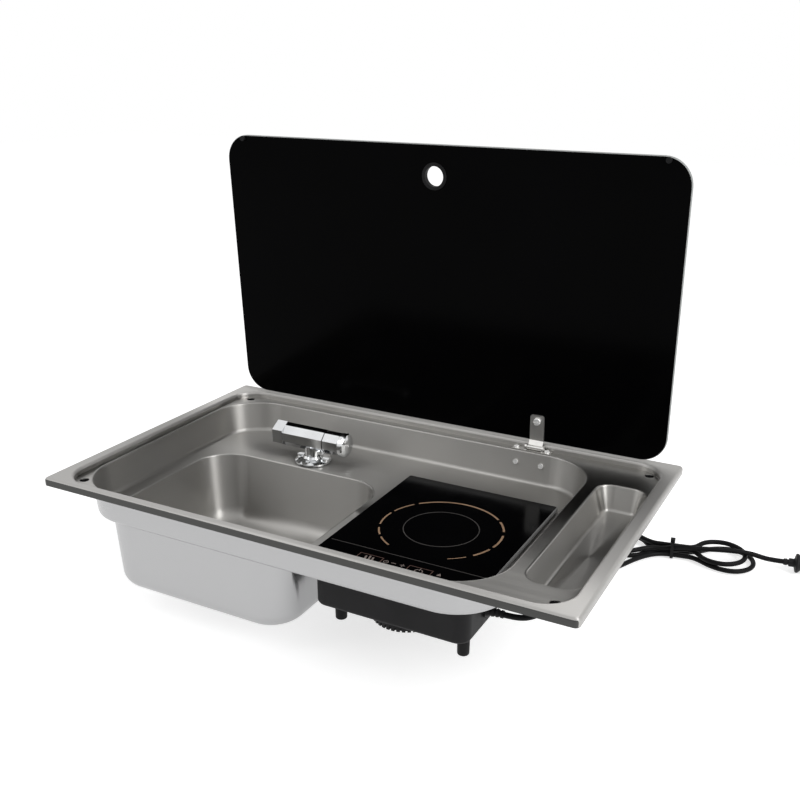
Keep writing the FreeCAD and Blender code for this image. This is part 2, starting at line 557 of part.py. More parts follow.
for body in (stiffener, tub):
    sk = sketch_on(body, "wall_screws", "XZ_Plane", z="-" + TUB_BACK)
    for at in WALL_SCREWS:
        add_circle(sk, "hinge_screw + 1", at, WALL_SCREW_Z)
    pocket(body, sk, "20", both=True)

# Hinge pin: pressed into both ears.
pin = new_body("hinge_pin")
sk = sketch_on(pin, "round", "YZ_Plane", z="hinge_x")
add_circle(sk, "pin_dia", "pin_y", "pin_z")
pad(pin, sk, "strap_width + 2 * hinge_play + 2 * ear_gauge + 2", both=True)


def feature(label, shape):
    """A piece whose shape is set directly."""
    obj = doc.addObject("Part::Feature", label)
    obj.Label = label
    obj.Shape = shape
    return obj


# Hinge screws and nuts: two upright ones in the deck and two square to the leaning wall.
draft = math.radians(size("tub_draft"))
out = V(0, math.cos(draft), -math.sin(draft))
head, shank = size("hinge_screw_head / 2"), size("hinge_screw / 2")
screws, nuts = [], []
for at in DECK_SCREWS:
    top = V(size(at), size("pin_y"), size("sheet_gauge + bracket_gauge"))
    low = V(top.x, top.y, -size("bracket_gauge"))
    stem = Part.makeCylinder(shank, top.z - low.z + 3.5, low - V(0, 0, 3.5))
    screws.append(Part.makeCylinder(head, 2, top).fuse(stem))
    ring = Part.makeCylinder(head, 2.5, low - V(0, 0, 2.5))
    nuts.append(ring.cut(Part.makeCylinder(shank, 2.5, low - V(0, 0, 2.5))))
for at in WALL_SCREWS:
    drop = size("wall_screw_drop")
    seat = V(size(at), size(TUB_BACK) - drop * math.tan(draft), size("sheet_gauge") - drop)
    grip = size("sheet_gauge + stiffener_gap + bracket_gauge") * math.cos(draft)
    stem = Part.makeCylinder(shank, grip + 3.5, seat, out)
    screws.append(Part.makeCylinder(head, 2, seat - out * 2, out).fuse(stem))
    ring = Part.makeCylinder(head, 2.5, seat + out * grip, out)
    nuts.append(ring.cut(Part.makeCylinder(shank, 2.5, seat + out * grip, out)))
hinge_screws = feature("hinge_screws", Part.makeCompound([s.removeSplitter() for s in screws]))
hinge_nuts = feature("hinge_nuts", Part.makeCompound(nuts))

# Tap base, gasket, shank and back nut: the fixed pieces, on the floor of the tub.
TAP = ("tap_x", "tap_y", TUB_FLOOR)
gasket = new_body("tap_gasket", *TAP)
sk = sketch_on(gasket, "ring")
add_circle(sk, "tap_base_dia - 4")
add_circle(sk, "tap_hole")
pad(gasket, sk, "gasket_gauge")
base = new_body("tap_base", *TAP)
sk = sketch_on(base, "profile", "XZ_Plane")
add_polygon(sk, [("shank_dia / 2", "gasket_gauge"), ("tap_base_dia / 2", "gasket_gauge"),
                 ("tap_base_dia / 2", "gasket_gauge + 2.5"), ("tap_base_dia / 2 - 4", "gasket_gauge + 4.5"),
                 ("tap_neck / 2 + 3", "gasket_gauge + 6"), ("tap_neck / 2 + 1", "tap_base_height"),
                 ("shank_dia / 2", "tap_base_height")])
revolve(base, sk, "V_Axis")
sk = sketch_on(base, "claw", z="gasket_gauge")
add_circle(sk, "tap_base_dia / 4", "0", "tap_base_dia * 3 / 8")
polar(base, pad(base, sk, "tap_base_height - gasket_gauge - 3"), "4")
shank_body = new_body("tap_shank", *TAP)
sk = sketch_on(shank_body, "profile", "XZ_Plane")
add_polygon(sk, [("shank_bore / 2", "-shank_length"), ("tail_dia / 2", "-shank_length"),
                 ("tail_dia / 2", "tail_length - shank_length"), ("shank_dia / 2", "tail_length - shank_length"),
                 ("shank_dia / 2", "tap_base_height - 1"), ("shank_bore / 2", "tap_base_height - 1")])
revolve(shank_body, sk, "V_Axis")


def add_flats(sk, flats, count, x="0", y="0", turn=0.0):
    """A regular outline with the given width across flats."""
    corners = []
    for k in range(count):
        angle = 360.0 * k / count + turn
        scale = 1 / math.cos(math.pi / count) / 2
        corners.append(("%s + (%s) * %.9f" % (x, flats, scale * math.cos(math.radians(angle))),
                        "%s + (%s) * %.9f" % (y, flats, scale * math.sin(math.radians(angle)))))
    add_polygon(sk, corners)


backnut = new_body("tap_backnut", *TAP)
sk = sketch_on(backnut, "hexagon", z="-sheet_gauge")
add_flats(sk, "backnut_flats", 6)
add_circle(sk, "shank_dia")
pad(backnut, sk, "backnut_height", down=True)

# Tap body: the faceted barrel on its neck, which swivels on the base.
body = new_body("tap_body", *TAP)
sk = sketch_on(body, "barrel", "YZ_Plane", z="-tap_barrel_left")
add_flats(sk, "tap_bar", 8, "0", "tap_axis", 22.5)
pad(body, sk, "tap_barrel_left + tap_barrel_right")
sk = sketch_on(body, "neck", z="tap_base_height + tap_play")
add_circle(sk, "tap_neck")
pad(body, sk, "tap_axis - tap_base_height - tap_play")
sk = sketch_on(body, "spigot", z="tap_base_height + tap_play")
add_circle(sk, "shank_bore - 2 * tap_play")
pad(body, sk, "tap_base_height - 2", down=True)
sk = sketch_on(body, "valve_bore", "YZ_Plane", z="tap_barrel_right")
add_circle(sk, "cartridge_dia", "0", "tap_axis")
pocket(body, sk, "tap_barrel_right + 10")
tap_body = body

# Tap outlet and aerator: a hexagon head at the left end with a screen in its mouth.
outlet = new_body("tap_outlet", *TAP)
sk = sketch_on(outlet, "hexagon", "YZ_Plane", z="-tap_half")
add_flats(sk, "outlet_flats", 6, "0", "tap_axis", 90)
pad(outlet, sk, "tap_half - tap_barrel_left")
sk = sketch_on(outlet, "mouth", "YZ_Plane", z="-tap_half")
add_circle(sk, "aerator_dia", "0", "tap_axis")
pocket(outlet, sk, "aerator_depth", up=True)
rims = []
for k, edge in enumerate(outlet.Tip.Shape.Edges):
    box = edge.BoundBox
    if box.XMax < -size("tap_half") + 0.01 and edge.Curve.TypeId == "Part::GeomLine":
        rims.append("Edge%d" % (k + 1))
chamfer(outlet, rims, "2.5")
aerator = new_body("tap_aerator", *TAP)
sk = sketch_on(aerator, "screen", "YZ_Plane", z="aerator_depth - tap_half")
add_circle(sk, "aerator_dia", "0", "tap_axis")
pad(aerator, sk, "aerator_depth - 2", down=True)
sk = sketch_on(aerator, "hollow", "YZ_Plane", z="2 - tap_half")
add_circle(sk, "aerator_dia - 4", "0", "tap_axis")
pocket(aerator, sk, "2", up=True)

# Tap cartridge: the valve in the barrel, with a stem that reaches into the knob.
cartridge = new_body("tap_cartridge", *TAP)
sk = sketch_on(cartridge, "valve", "YZ_Plane", z="-10")
add_circle(sk, "cartridge_dia", "0", "tap_axis")
pad(cartridge, sk, "tap_barrel_right + 10")
sk = sketch_on(cartridge, "stem", "YZ_Plane", z="tap_barrel_right")
add_circle(sk, "stem_dia", "0", "tap_axis")
pad(cartridge, sk, "knob_gap + 12")

# Tap knob: a faceted grip with a larger domed disc at its end, turned about the bar.
knob = new_body("tap_knob", *TAP)
sk = sketch_on(knob, "grip", "YZ_Plane", z="tap_barrel_right + knob_gap")
add_flats(sk, "knob_flats", 8, "0", "tap_axis", 22.5)
pad(knob, sk, "tap_half - knob_disc - tap_barrel_right - knob_gap")
sk = sketch_on(knob, "disc", "XZ_Plane", y="tap_axis")
add_polygon(sk, [("tap_half - knob_disc - 2", "0"), ("tap_half - knob_disc - 2", "knob_flats / 2 - 2"),
                 ("tap_half - knob_disc + 1", "knob_dia / 2 - 1"), ("tap_half - knob_disc + 2", "knob_dia / 2"),
                 ("tap_half - 5", "knob_dia / 2"), ("tap_half - 3", "knob_dia / 2 - 2"),
                 ("tap_half - 1", "knob_dia / 3.5"), ("tap_half", "0")])
revolve(knob, sk, "H_Axis")
sk = sketch_on(knob, "stem_bore", "YZ_Plane", z="tap_barrel_right + knob_gap")
add_circle(sk, "stem_dia + 2 * tap_play", "0", "tap_axis")
pocket(knob, sk, "12.5", up=True)

# Waste: a strainer cup through the floor of the bowl, clamped to a body with a spigot.
WASTE = ("bowl_x", "bowl_y", BOWL_FLOOR)
strainer = new_body("waste_strainer", *WASTE)
sk = sketch_on(strainer, "profile", "XZ_Plane")
CUP = "waste_hole / 2 - 1"
add_polygon(sk, [("0", "-strainer_depth"), (CUP + " - strainer_gauge - 2", "-strainer_depth"),
                 (CUP + " - strainer_gauge", "2 - strainer_depth"), (CUP + " - strainer_gauge", "0.5"),
                 (CUP + " + 1", "strainer_gauge + 0.6"), ("waste_flange / 2 - 3", "strainer_gauge"),
                 ("waste_flange / 2", "0"), (CUP, "0"), (CUP, "1.5 - strainer_depth"),
                 (CUP + " - 2.5", "-strainer_depth - strainer_gauge"), ("0", "-strainer_depth - strainer_gauge")])
revolve(strainer, sk, "V_Axis")
sk = sketch_on(strainer, "outer_hole", z="-strainer_depth")
add_circle(sk, "strainer_hole", "0", "waste_hole / 3")
polar(strainer, pocket(strainer, sk, "2 * strainer_gauge"), "10")
sk = sketch_on(strainer, "inner_hole", z="-strainer_depth")
add_circle(sk, "strainer_hole", "0", "waste_hole / 5")
polar(strainer, pocket(strainer, sk, "2 * strainer_gauge"), "5")
sk = sketch_on(strainer, "screw_hole", z="-strainer_depth")
add_circle(sk, "waste_screw + 2 * screw_play")
pocket(strainer, sk, "2 * strainer_gauge")
waste_gasket = new_body("waste_gasket", *WASTE)
sk = sketch_on(waste_gasket, "ring", z="-sheet_gauge")
add_circle(sk, "waste_flange")
add_circle(sk, "waste_hole")
pad(waste_gasket, sk, "waste_gasket_gauge", down=True)
waste_body = new_body("waste_body", *WASTE)
sk = sketch_on(waste_body, "profile", "XZ_Plane")
SEAT = "-sheet_gauge - waste_gasket_gauge"
add_polygon(sk, [("waste_hole / 2", SEAT), ("waste_flange / 2", SEAT), ("waste_flange / 2", SEAT + " - waste_wall"),
                 ("waste_hole / 2 + waste_wall", SEAT + " - waste_wall"),
                 ("waste_hole / 2 + waste_wall", "-waste_cup"),
                 ("spigot_dia / 2 + waste_wall", "-waste_cup - 6"), ("spigot_dia / 2", "-waste_cup - 8"),
                 ("spigot_dia / 2", "-waste_drop"), ("spigot_dia / 2 - spigot_wall", "-waste_drop"),
                 ("spigot_dia / 2 - spigot_wall", "-waste_cup - 4"), ("waste_hole / 2 - 2", "2 - waste_cup"),
                 ("waste_hole / 2", "4 - waste_cup")])
revolve(waste_body, sk, "V_Axis")
sk = sketch_on(waste_body, "bridge", z="-strainer_depth - strainer_gauge - 0.3")
add_box(sk, "waste_hole + waste_wall", "waste_screw + 4")
pad(waste_body, sk, "4", down=True)
sk = sketch_on(waste_body, "thread", z="-strainer_depth - strainer_gauge")
add_circle(sk, "waste_screw")
pocket(waste_body, sk, "5")
waste_screw = new_body("waste_screw", *WASTE)
sk = sketch_on(waste_screw, "shank", z="-strainer_depth")
add_circle(sk, "waste_screw")
pad(waste_screw, sk, "strainer_gauge + 4.3", down=True)
sk = sketch_on(waste_screw, "head", z="-strainer_depth")
add_circle(sk, "2 * waste_screw")
pad(waste_screw, sk, "waste_screw / 2")
fillet(waste_screw, level_edges(waste_screw, size("waste_screw / 2 - strainer_depth")), "waste_screw / 5")

# Hob glass and its seal: the plate overlaps the opening in the floor of the tub.
HOB = ("hob_x", "hob_y", TUB_FLOOR)
seal = new_body("hob_seal", *HOB)
sk = sketch_on(seal, "outline", x="plate_x", y="plate_y")
add_rounded(sk, "hob_width - 2 * seal_inset", "hob_length - 2 * seal_inset", "hob_corner")
pad(seal, sk, "hob_seal_gauge")
sk = sketch_on(seal, "opening", z="hob_seal_gauge")
add_rounded(sk, "case_width + 2 * case_gap", "case_length + 2 * case_gap", "case_corner + case_gap")
pocket(seal, sk, "hob_seal_gauge")
plate = new_body("hob_glass", *HOB)
sk = sketch_on(plate, "outline", x="plate_x", y="plate_y", z="hob_seal_gauge")
add_rounded(sk, "hob_width", "hob_length", "hob_corner")
pad(plate, sk, "hob_glass_gauge")
chamfer(plate, level_edges(plate, size("hob_seal_gauge + hob_glass_gauge")), "hob_glass_gauge / 4")

# Hob housing: an open tray under the glass, with vents, a fan hole and a cord hole.
case = new_body("hob_housing", *HOB)
sk = sketch_on(case, "outside", z="hob_seal_gauge")
add_rounded(sk, "case_width", "case_length", "case_corner")
pad(case, sk, "hob_seal_gauge + case_depth", down=True)
fillet(case, level_edges(case, -size("case_depth")), "case_round")
sk = sketch_on(case, "inside", z="hob_seal_gauge")
add_rounded(sk, "case_width - 2 * case_wall", "case_length - 2 * case_wall", "case_corner - case_wall")
pocket(case, sk, "hob_seal_gauge + case_depth - case_wall")
sk = sketch_on(case, "fan_hole", z="case_wall - case_depth")
add_circle(sk, "fan_hole", "fan_x", "fan_y")
pocket(case, sk, "2 * case_wall")
sk = sketch_on(case, "cord_hole", "YZ_Plane", z="case_width / 2")
add_circle(sk, "gland_hole", "gland_y", "-gland_drop")
pocket(case, sk, "2 * case_wall")
sk = sketch_on(case, "vent", "XZ_Plane", z="-case_length / 2")
add_box(sk, "vent_width", "vent_height", "-vent_pitch * (vent_count - 1) / 2", "-vent_drop")
row_of(case, pocket(case, sk, "4 * case_wall", both=True), "X_Axis", "vent_pitch * (vent_count - 1)", "vent_count")

# Feet: four posts under the housing.
feet = new_body("hob_feet", *HOB)
sk = sketch_on(feet, "posts", z="-case_depth")
for x in ("-foot_left", "foot_right"):
    for y in ("-foot_reach", "foot_reach"):
        add_circle(sk, "foot_dia", x, y)
pad(feet, sk, "foot_height", down=True, taper="1")
fillet(feet, level_edges(feet, -size("case_depth + foot_height")), "foot_dia / 8")

# Fan guard: a toothed ring with a ring-and-spoke grille under the fan hole.
FAN = ("hob_x + fan_x", "hob_y + fan_y", TUB_FLOOR + " - case_depth")
guard = new_body("fan_guard", *FAN)
sk = sketch_on(guard, "wall")
add_circle(sk, "guard_dia")
add_circle(sk, "guard_dia - 2 * guard_wall")
pad(guard, sk, "guard_height", down=True)
sk = sketch_on(guard, "hub", z="-guard_height")
add_circle(sk, "motor_dia")
pad(guard, sk, "grille_gauge")
sk = sketch_on(guard, "ring", z="-guard_height")
add_circle(sk, "(motor_dia + guard_dia) / 2 + guard_wall")
add_circle(sk, "(motor_dia + guard_dia) / 2 - guard_wall")
pad(guard, sk, "grille_gauge")
sk = sketch_on(guard, "spoke", z="-guard_height")
add_box(sk, "guard_wall", "guard_dia / 2 - motor_dia / 2 + 2 - guard_wall", "0", "guard_dia / 4 + motor_dia / 4 - guard_wall / 2")
polar(guard, pad(guard, sk, "grille_gauge"), "8")
sk = sketch_on(guard, "tooth_gap", z="-guard_height")
add_box(sk, "tooth_gap", "2 * guard_wall", "0", "guard_dia / 2")
polar(guard, pocket(guard, sk, "tooth_height", up=True), "guard_teeth")

# Fan motor: it stands on the hub of the guard.
motor = new_body("fan_motor", *FAN)
sk = sketch_on(motor, "can", z="grille_gauge - guard_height")
add_circle(sk, "motor_dia")
pad(motor, sk, "motor_height")
sk = sketch_on(motor, "shaft", z="grille_gauge - guard_height + motor_height")
add_circle(sk, "fan_shaft")
pad(motor, sk, "fan_play + 3")

# Fan rotor: a cup over the motor with blades round it.
ROTOR_TOP = "(grille_gauge - guard_height + motor_height + fan_play + 2)"
rotor = new_body("fan_rotor", *FAN)
sk = sketch_on(rotor, "cup", z=ROTOR_TOP)
add_circle(sk, "rotor_hub")
pad(rotor, sk, "rotor_height", down=True)
sk = sketch_on(rotor, "hollow", z=ROTOR_TOP + " - 2")
add_circle(sk, "motor_dia + 2 * fan_play")
pocket(rotor, sk, "rotor_height")
sk = sketch_on(rotor, "bore", z=ROTOR_TOP)
add_circle(sk, "fan_shaft + 0.2")
pocket(rotor, sk, "4")
sk = sketch_on(rotor, "blade", z=ROTOR_TOP)
add_polygon(sk, [("-blade_gauge / 2", "rotor_hub / 2 - 1"), ("blade_gauge / 2", "rotor_hub / 2 - 1"),
                 ("blade_gauge / 2 + 3", "rotor_hub / 4 + rotor_dia / 4"),
                 ("blade_gauge / 2 + 9", "rotor_dia / 2 - 2"), ("9 - blade_gauge / 2", "rotor_dia / 2 - 2"),
                 ("3 - blade_gauge / 2", "rotor_hub / 4 + rotor_dia / 4")])
polar(rotor, pad(rotor, sk, "rotor_height - 1", down=True), "blade_count")

# Coil former, coil, ferrites and sensor: the work coil under the cooking ring.
COIL = ("hob_x + coil_x", "hob_y + coil_y", TUB_FLOOR + " + hob_seal_gauge - coil_gap")
coil = new_body("induction_coil", *COIL)
sk = sketch_on(coil, "winding")
add_circle(sk, "coil_dia")
add_circle(sk, "coil_bore")
pad(coil, sk, "coil_gauge", down=True)
former = new_body("coil_former", *COIL)
sk = sketch_on(former, "disc", z="-coil_gauge")
add_circle(sk, "former_dia")
pad(former, sk, "former_gauge", down=True)
sk = sketch_on(former, "legs", z="-coil_gauge - former_gauge")
for angle in (90, 200, 340):
    add_circle(sk, "former_leg", "former_leg_reach * cos(%d)" % angle, "former_leg_reach * sin(%d)" % angle)
pad(former, sk, "case_depth - case_wall - coil_gauge - former_gauge + hob_seal_gauge - coil_gap", down=True)
ferrites = new_body("ferrite_bars", *COIL)
sk = sketch_on(ferrites, "bar", z="-coil_gauge - former_gauge")
add_box(sk, "ferrite_width", "ferrite_length", "0", "coil_bore / 2 + ferrite_length / 2")
bar = pad(ferrites, sk, "ferrite_gauge", down=True)
polar(ferrites, bar, "ferrite_count")
sensor = new_body("temperature_sensor", *COIL)
sk = sketch_on(sensor, "button", z="-coil_gauge")
add_circle(sk, "sensor_dia")
pad(sensor, sk, "coil_gauge + coil_gap")

# Power board with its standoffs, and the finned heat sink on it.
FLOOR = "(case_wall - case_depth)"
board = new_body("power_board", *HOB)
sk = sketch_on(board, "plate", x="board_x", y="board_y", z=FLOOR + " + standoff")
add_box(sk, "board_width", "board_length")
pad(board, sk, "board_gauge")
sk = sketch_on(board, "standoffs", x="board_x", y="board_y", z=FLOOR)
for sx in ("-", ""):
    for sy in ("-", ""):
        add_circle(sk, "6", sx + "(board_width / 2 - 6)", sy + "(board_length / 2 - 6)")
pad(board, sk, "standoff")
cooler = new_body("heat_sink", *HOB)
sk = sketch_on(cooler, "base", x="board_x", y="board_y", z=FLOOR + " + standoff + board_gauge")
add_box(sk, "sink_width", "sink_length")
pad(cooler, sk, "sink_base")
sk = sketch_on(cooler, "fin", x="board_x", y="board_y", z=FLOOR + " + standoff + board_gauge + sink_base")
add_box(sk, "fin_gauge", "sink_length", "fin_gauge / 2 - sink_width / 2")
row_of(cooler, pad(cooler, sk, "sink_height - sink_base"), "X_Axis", "sink_width - fin_gauge", "fin_count")

# Control board and touch springs: the keys are felt through the glass.
panel = new_body("control_board", *HOB)
sk = sketch_on(panel, "plate", x="plate_x", y="panel_y", z="hob_seal_gauge - panel_drop")
add_box(sk, "panel_width", "panel_length")
pad(panel, sk, "board_gauge", down=True)
springs = new_body("touch_springs", *HOB)
sk = sketch_on(springs, "coil", x="plate_x", y="panel_y", z="hob_seal_gauge")
add_circle(sk, "spring_dia", "-spring_pitch * (spring_count - 1) / 2")
row_of(springs, pad(springs, sk, "panel_drop", down=True), "X_Axis", "spring_pitch * (spring_count - 1)", "spring_count")

# Hob clamps: angle pieces on the housing that pull it up against the floor of the tub.
clamps = new_body("hob_clamps", *HOB)
for name, y in (("front", "-clamp_span / 2"), ("back", "clamp_span / 2")):
    sk = sketch_on(clamps, name + "_angle", "XZ_Plane", z="-(%s)" % y)
    add_polygon(sk, [("-case_width / 2", "-sheet_gauge"), ("-case_width / 2 - clamp_reach", "-sheet_gauge"),
                     ("-case_width / 2 - clamp_reach", "-sheet_gauge - clamp_gauge"),
                     ("-case_width / 2 - clamp_gauge", "-sheet_gauge - clamp_gauge"),
                     ("-case_width / 2 - clamp_gauge", "-sheet_gauge - clamp_height"),
                     ("-case_width / 2", "-sheet_gauge - clamp_height")])
    pad(clamps, sk, "clamp_width", both=True)
for name, x in (("left", "-clamp_span / 2"), ("right", "clamp_span / 2")):
    sk = sketch_on(clamps, name + "_angle", "YZ_Plane", z=x)
    add_polygon(sk, [("case_length / 2", "-sheet_gauge"), ("case_length / 2 + clamp_reach", "-sheet_gauge"),
                     ("case_length / 2 + clamp_reach", "-sheet_gauge - clamp_gauge"),
                     ("case_length / 2 + clamp_gauge", "-sheet_gauge - clamp_gauge"),
                     ("case_length / 2 + clamp_gauge", "-sheet_gauge - clamp_height"),
                     ("case_length / 2", "-sheet_gauge - clamp_height")])
    pad(clamps, sk, "clamp_width", both=True)

# Cord gland: a flanged bush in the side of the housing with a grooved strain relief.
gland = new_body("cord_gland", "hob_x + case_width / 2", "hob_y + gland_y", TUB_FLOOR + " - gland_drop")
sk = sketch_on(gland, "profile", "XZ_Plane")
outline = [("-case_wall - 3", "0"), ("-case_wall - 3", "gland_flange / 2 - 1"), ("-case_wall", "gland_flange / 2 - 1"),
           ("-case_wall", "gland_hole / 2"), ("0", "gland_hole / 2"), ("0", "gland_flange / 2"),
           ("gland_flange_gauge", "gland_flange / 2"), ("gland_flange_gauge", "gland_dia / 2")]
for k in range(3):
    at = "gland_flange_gauge + (gland_length - gland_flange_gauge) * %d / 7" % (2 * k + 1)
    to = "gland_flange_gauge + (gland_length - gland_flange_gauge) * %d / 7" % (2 * k + 2)
    slim = "gland_dia / 2 - (gland_dia - cord_dia) / 10 * %d" % (k + 1)
    outline += [(at, slim), (at, slim + " - 1"), (to, slim + " - 1"), (to, slim)]
outline += [("gland_length", "cord_dia / 2 + 1.2"), ("gland_length", "0")]
add_polygon(sk, outline)
revolve(gland, sk, "H_Axis")

# Route of the cord from the gland to the hank, as points on the centre line.
# It leaves the gland, falls to the floor behind the unit and turns in to the waist of the hank.
cord_r = size("cord_dia / 2")
floor = size("floor_z")
pitch = size("cord_dia + hank_gap")
low = floor + size("tie_gauge + hank_gap") + cord_r
high = low + pitch
turn = FreeCAD.Rotation(V(0, 0, 1), size("hank_turn"))
knot = V(size("hank_x"), size("hank_y"), 0)


def on_hank(x, y, z):
    """A point of the hank's own plan, moved to its place on the floor."""
    return turn.multVec(V(x, y, 0)) + knot + V(0, 0, z)


def rounded_route(points, name):
    """Straight runs joined by arcs as large as the runs allow; prints the radii."""
    edges, radii = [], []
    start = points[0]
    for before, at, after in zip(points, points[1:], points[2:]):
        into, away = (at - before), (after - at)
        angle = into.getAngle(away)
        run = min(into.Length, away.Length)
        radius = 0.45 * run / math.tan(angle / 2)
        cut = 0.45 * run
        a = at - V(into).normalize() * cut
        b = at + V(away).normalize() * cut
        inward = (V(away).normalize() - V(into).normalize()).normalize()
        mid = at + inward * (radius / math.cos(angle / 2) - radius)
        edges.append(Part.LineSegment(start, a).toShape())
        edges.append(Part.Arc(a, mid, b).toShape())
        start = b
        radii.append(round(radius, 1))
    edges.append(Part.LineSegment(start, points[-1]).toShape())
    print(name, "radii", radii, "length", round(sum(e.Length for e in edges)))
    return Part.Wire(edges)


def tube(path, dia, name):
    """A round tube along a path; its volume is compared with its section times its length."""
    first = path.OrderedEdges[0]
    along = first.tangentAt(first.FirstParameter)
    ring = Part.Wire(Part.Circle(first.valueAt(first.FirstParameter), along, dia / 2).toShape())
    shape = path.makePipeShell([ring], True, False)
    solid = shape if shape.ShapeType == "Solid" else Part.Solid(shape)
    want = math.pi * dia * dia / 4 * path.Length
    if abs(solid.Volume - want) > 0.02 * want:
        raise RuntimeError("%s volume %.0f, not %.0f" % (name, solid.Volume, want))
    return solid


waist = size("waist_length / 2")
near = -(pitch / 2 + pitch)
gland_end = V(size("hob_x + case_width / 2 + gland_length"), size("hob_y + gland_y"), size(TUB_FLOOR + " - gland_drop"))
ease = [on_hank(size("hank_start"), near, low)]
for heading, step in ((0, 8), (11, 11), (26, 12), (40, 14), (48, 20), (55, 28)):
    a = math.radians(heading + size("hank_turn"))
    ease.insert(0, ease[0] - V(math.cos(a), math.sin(a), 0) * step)
leave = [gland_end]
for heading, step, rise in ((0, 18, 0), (22, 18, 4), (44, 18, 8), (64, 19, 9), (80, 22, 8), (90, 28, 4), (92, 36, -4)):
    a = math.radians(heading)
    leave.append(leave[-1] + V(step * math.cos(a), step * math.sin(a), rise))
reach = ease[0]
route = leave + [V(276, 78, -78), V(271, 122, -104), V(266, 164, -131),
                 V(263, 196, -152), V(reach.x - 8, reach.y - 25, low + 3)] + ease
cord = feature("power_cord", tube(rounded_route(route, "power_cord"), size("cord_dia"), "power_cord"))


def lobe(path, side, y_in, y_out, z, length, radius):
    """One end loop of the hank: out along an arc, round the end and back in to the waist."""
    middle, gap = (y_in + y_out) / 2, abs(y_in - y_out) / 2
    spin = 1 if y_out > y_in else -1
    reach = length - waist - radius
    flare = (reach * reach / (radius - gap) - radius - gap) / 2
    angle = math.acos((gap + flare) / (flare + radius))
    hub = V(side * (waist + reach), middle, 0)

    def flank(y, way, t):
        return V(side * (waist + flare * math.sin(t)), y + way * flare * (1 - math.cos(t)), 0)

    def end(t):
        return hub + V(side * radius * math.cos(t), spin * radius * math.sin(t), 0)
    turned = math.pi / 2 + angle
    places = [flank(y_in, -spin, 0), flank(y_in, -spin, angle / 2), flank(y_in, -spin, angle),
              end(-turned * 0.5), end(0), end(turned * 0.5), flank(y_out, spin, angle),
              flank(y_out, spin, angle / 2), flank(y_out, spin, 0)]
    world = [on_hank(p.x, p.y, z) for p in places]
    for k in (0, 2, 4, 6):
        path.append(Part.Arc(world[k], world[k + 1], world[k + 2]).toShape())


def strand(path, way, y, z_in, z_out):
    """One straight pass through the waist; a change of height is a pair of arcs."""
    a, b = on_hank(-way * waist, y, z_in), on_hank(way * waist, y, z_out)
    if abs(z_in - z_out) < 1e-6:
        path.append(Part.LineSegment(a, b).toShape())
        return
    stub = size("cord_dia / 5")
    p, q = on_hank(-way * (waist - stub), y, z_in), on_hank(way * (waist - stub), y, z_out)
    run, rise = (waist - stub) * 2, z_out - z_in
    bend = (run * run + rise * rise) / (4 * rise)
    sag = bend - math.sqrt(bend * bend - (run / 4) ** 2) if bend > 0 else bend + math.sqrt(bend * bend - (run / 4) ** 2)
    m = (p + q) / 2
    path.append(Part.LineSegment(a, p).toShape())
    path.append(Part.Arc(p, on_hank(-way * run / 4, y, z_in + sag), m).toShape())
    path.append(Part.Arc(m, on_hank(way * run / 4, y, z_out - sag), q).toShape())
    path.append(Part.LineSegment(q, b).toShape())


# Hank: two loops, one on the floor and one on top of it, drawn in at the waist by the tie.
# The first loop runs inwards, the strand climbs a layer and the second loop runs outwards.
far_side = pitch / 2
inner = -pitch / 2
top = high + pitch
path = []
path.append(Part.LineSegment(ease[-1], on_hank(waist, near, low)).toShape())
lobe(path, 1, near, far_side, low, size("lobe_long"), size("lobe_radius"))
strand(path, -1, far_side, low, low)
lobe(path, -1, far_side, inner, low, size("lobe_short"), size("lobe_radius"))
strand(path, 1, inner, low, high)
lobe(path, 1, inner, far_side, high, size("lobe_short"), size("lobe_radius"))
strand(path, -1, far_side, high, high)
lobe(path, -1, far_side, near, high, size("lobe_long"), size("lobe_radius"))
strand(path, 1, near, high, top)
hank_wire = Part.Wire(path)
hank = feature("cord_hank", tube(hank_wire, size("cord_dia"), "cord_hank"))
samples = []
run = 0.0
for edge in hank_wire.OrderedEdges:
    for p in edge.discretize(max(3, int(edge.Length / 3))):
        if samples:
            run += (p - samples[-1][1]).Length
        samples.append((run, p))
least = 1e9
for i, (si, p) in enumerate(samples):
    for sj, q in samples[i + 1:]:
        if sj - si > 4 * size("cord_dia"):
            least = min(least, (p - q).Length)
print("hank length", round(hank_wire.Length), "least gap", round(least - size("cord_dia"), 2))


def hank_body(label, x="0", y="0", z="0"):
    """A body that lies with the hank, turned with it on the floor."""
    body = doc.addObject("PartDesign::Body", label)
    body.Label = label
    body.AllowCompound = True
    body.Placement = FreeCAD.Placement(on_hank(size(x), size(y), size(z)), turn)
    return body


# Tie: a flat band round the waist with a square head on top.
TIE_TALL = "2.5 * cord_dia + 6 * hank_gap"
TIE_WIDE = "3 * cord_dia + 4 * hank_gap"
band = hank_body("cord_tie", "0", "-(cord_dia + hank_gap) / 2", "floor_z")
sk = sketch_on(band, "band", "YZ_Plane", y="tie_gauge + (%s) / 2" % TIE_TALL)
add_rounded(sk, TIE_WIDE + " + 2 * tie_gauge", TIE_TALL + " + 2 * tie_gauge", "cord_dia / 2 + tie_gauge")
add_rounded(sk, TIE_WIDE, TIE_TALL, "cord_dia / 2")
pad(band, sk, "tie_width", both=True)
sk = sketch_on(band, "head", "YZ_Plane", y="2 * tie_gauge + " + TIE_TALL)
add_polygon(sk, [("-tie_width", "-tie_gauge / 2"), ("tie_width / 2", "-tie_gauge / 2"),
                 ("tie_width / 2", "tie_width"), ("-tie_width", "tie_width")])
pad(band, sk, "tie_width + 2", both=True)

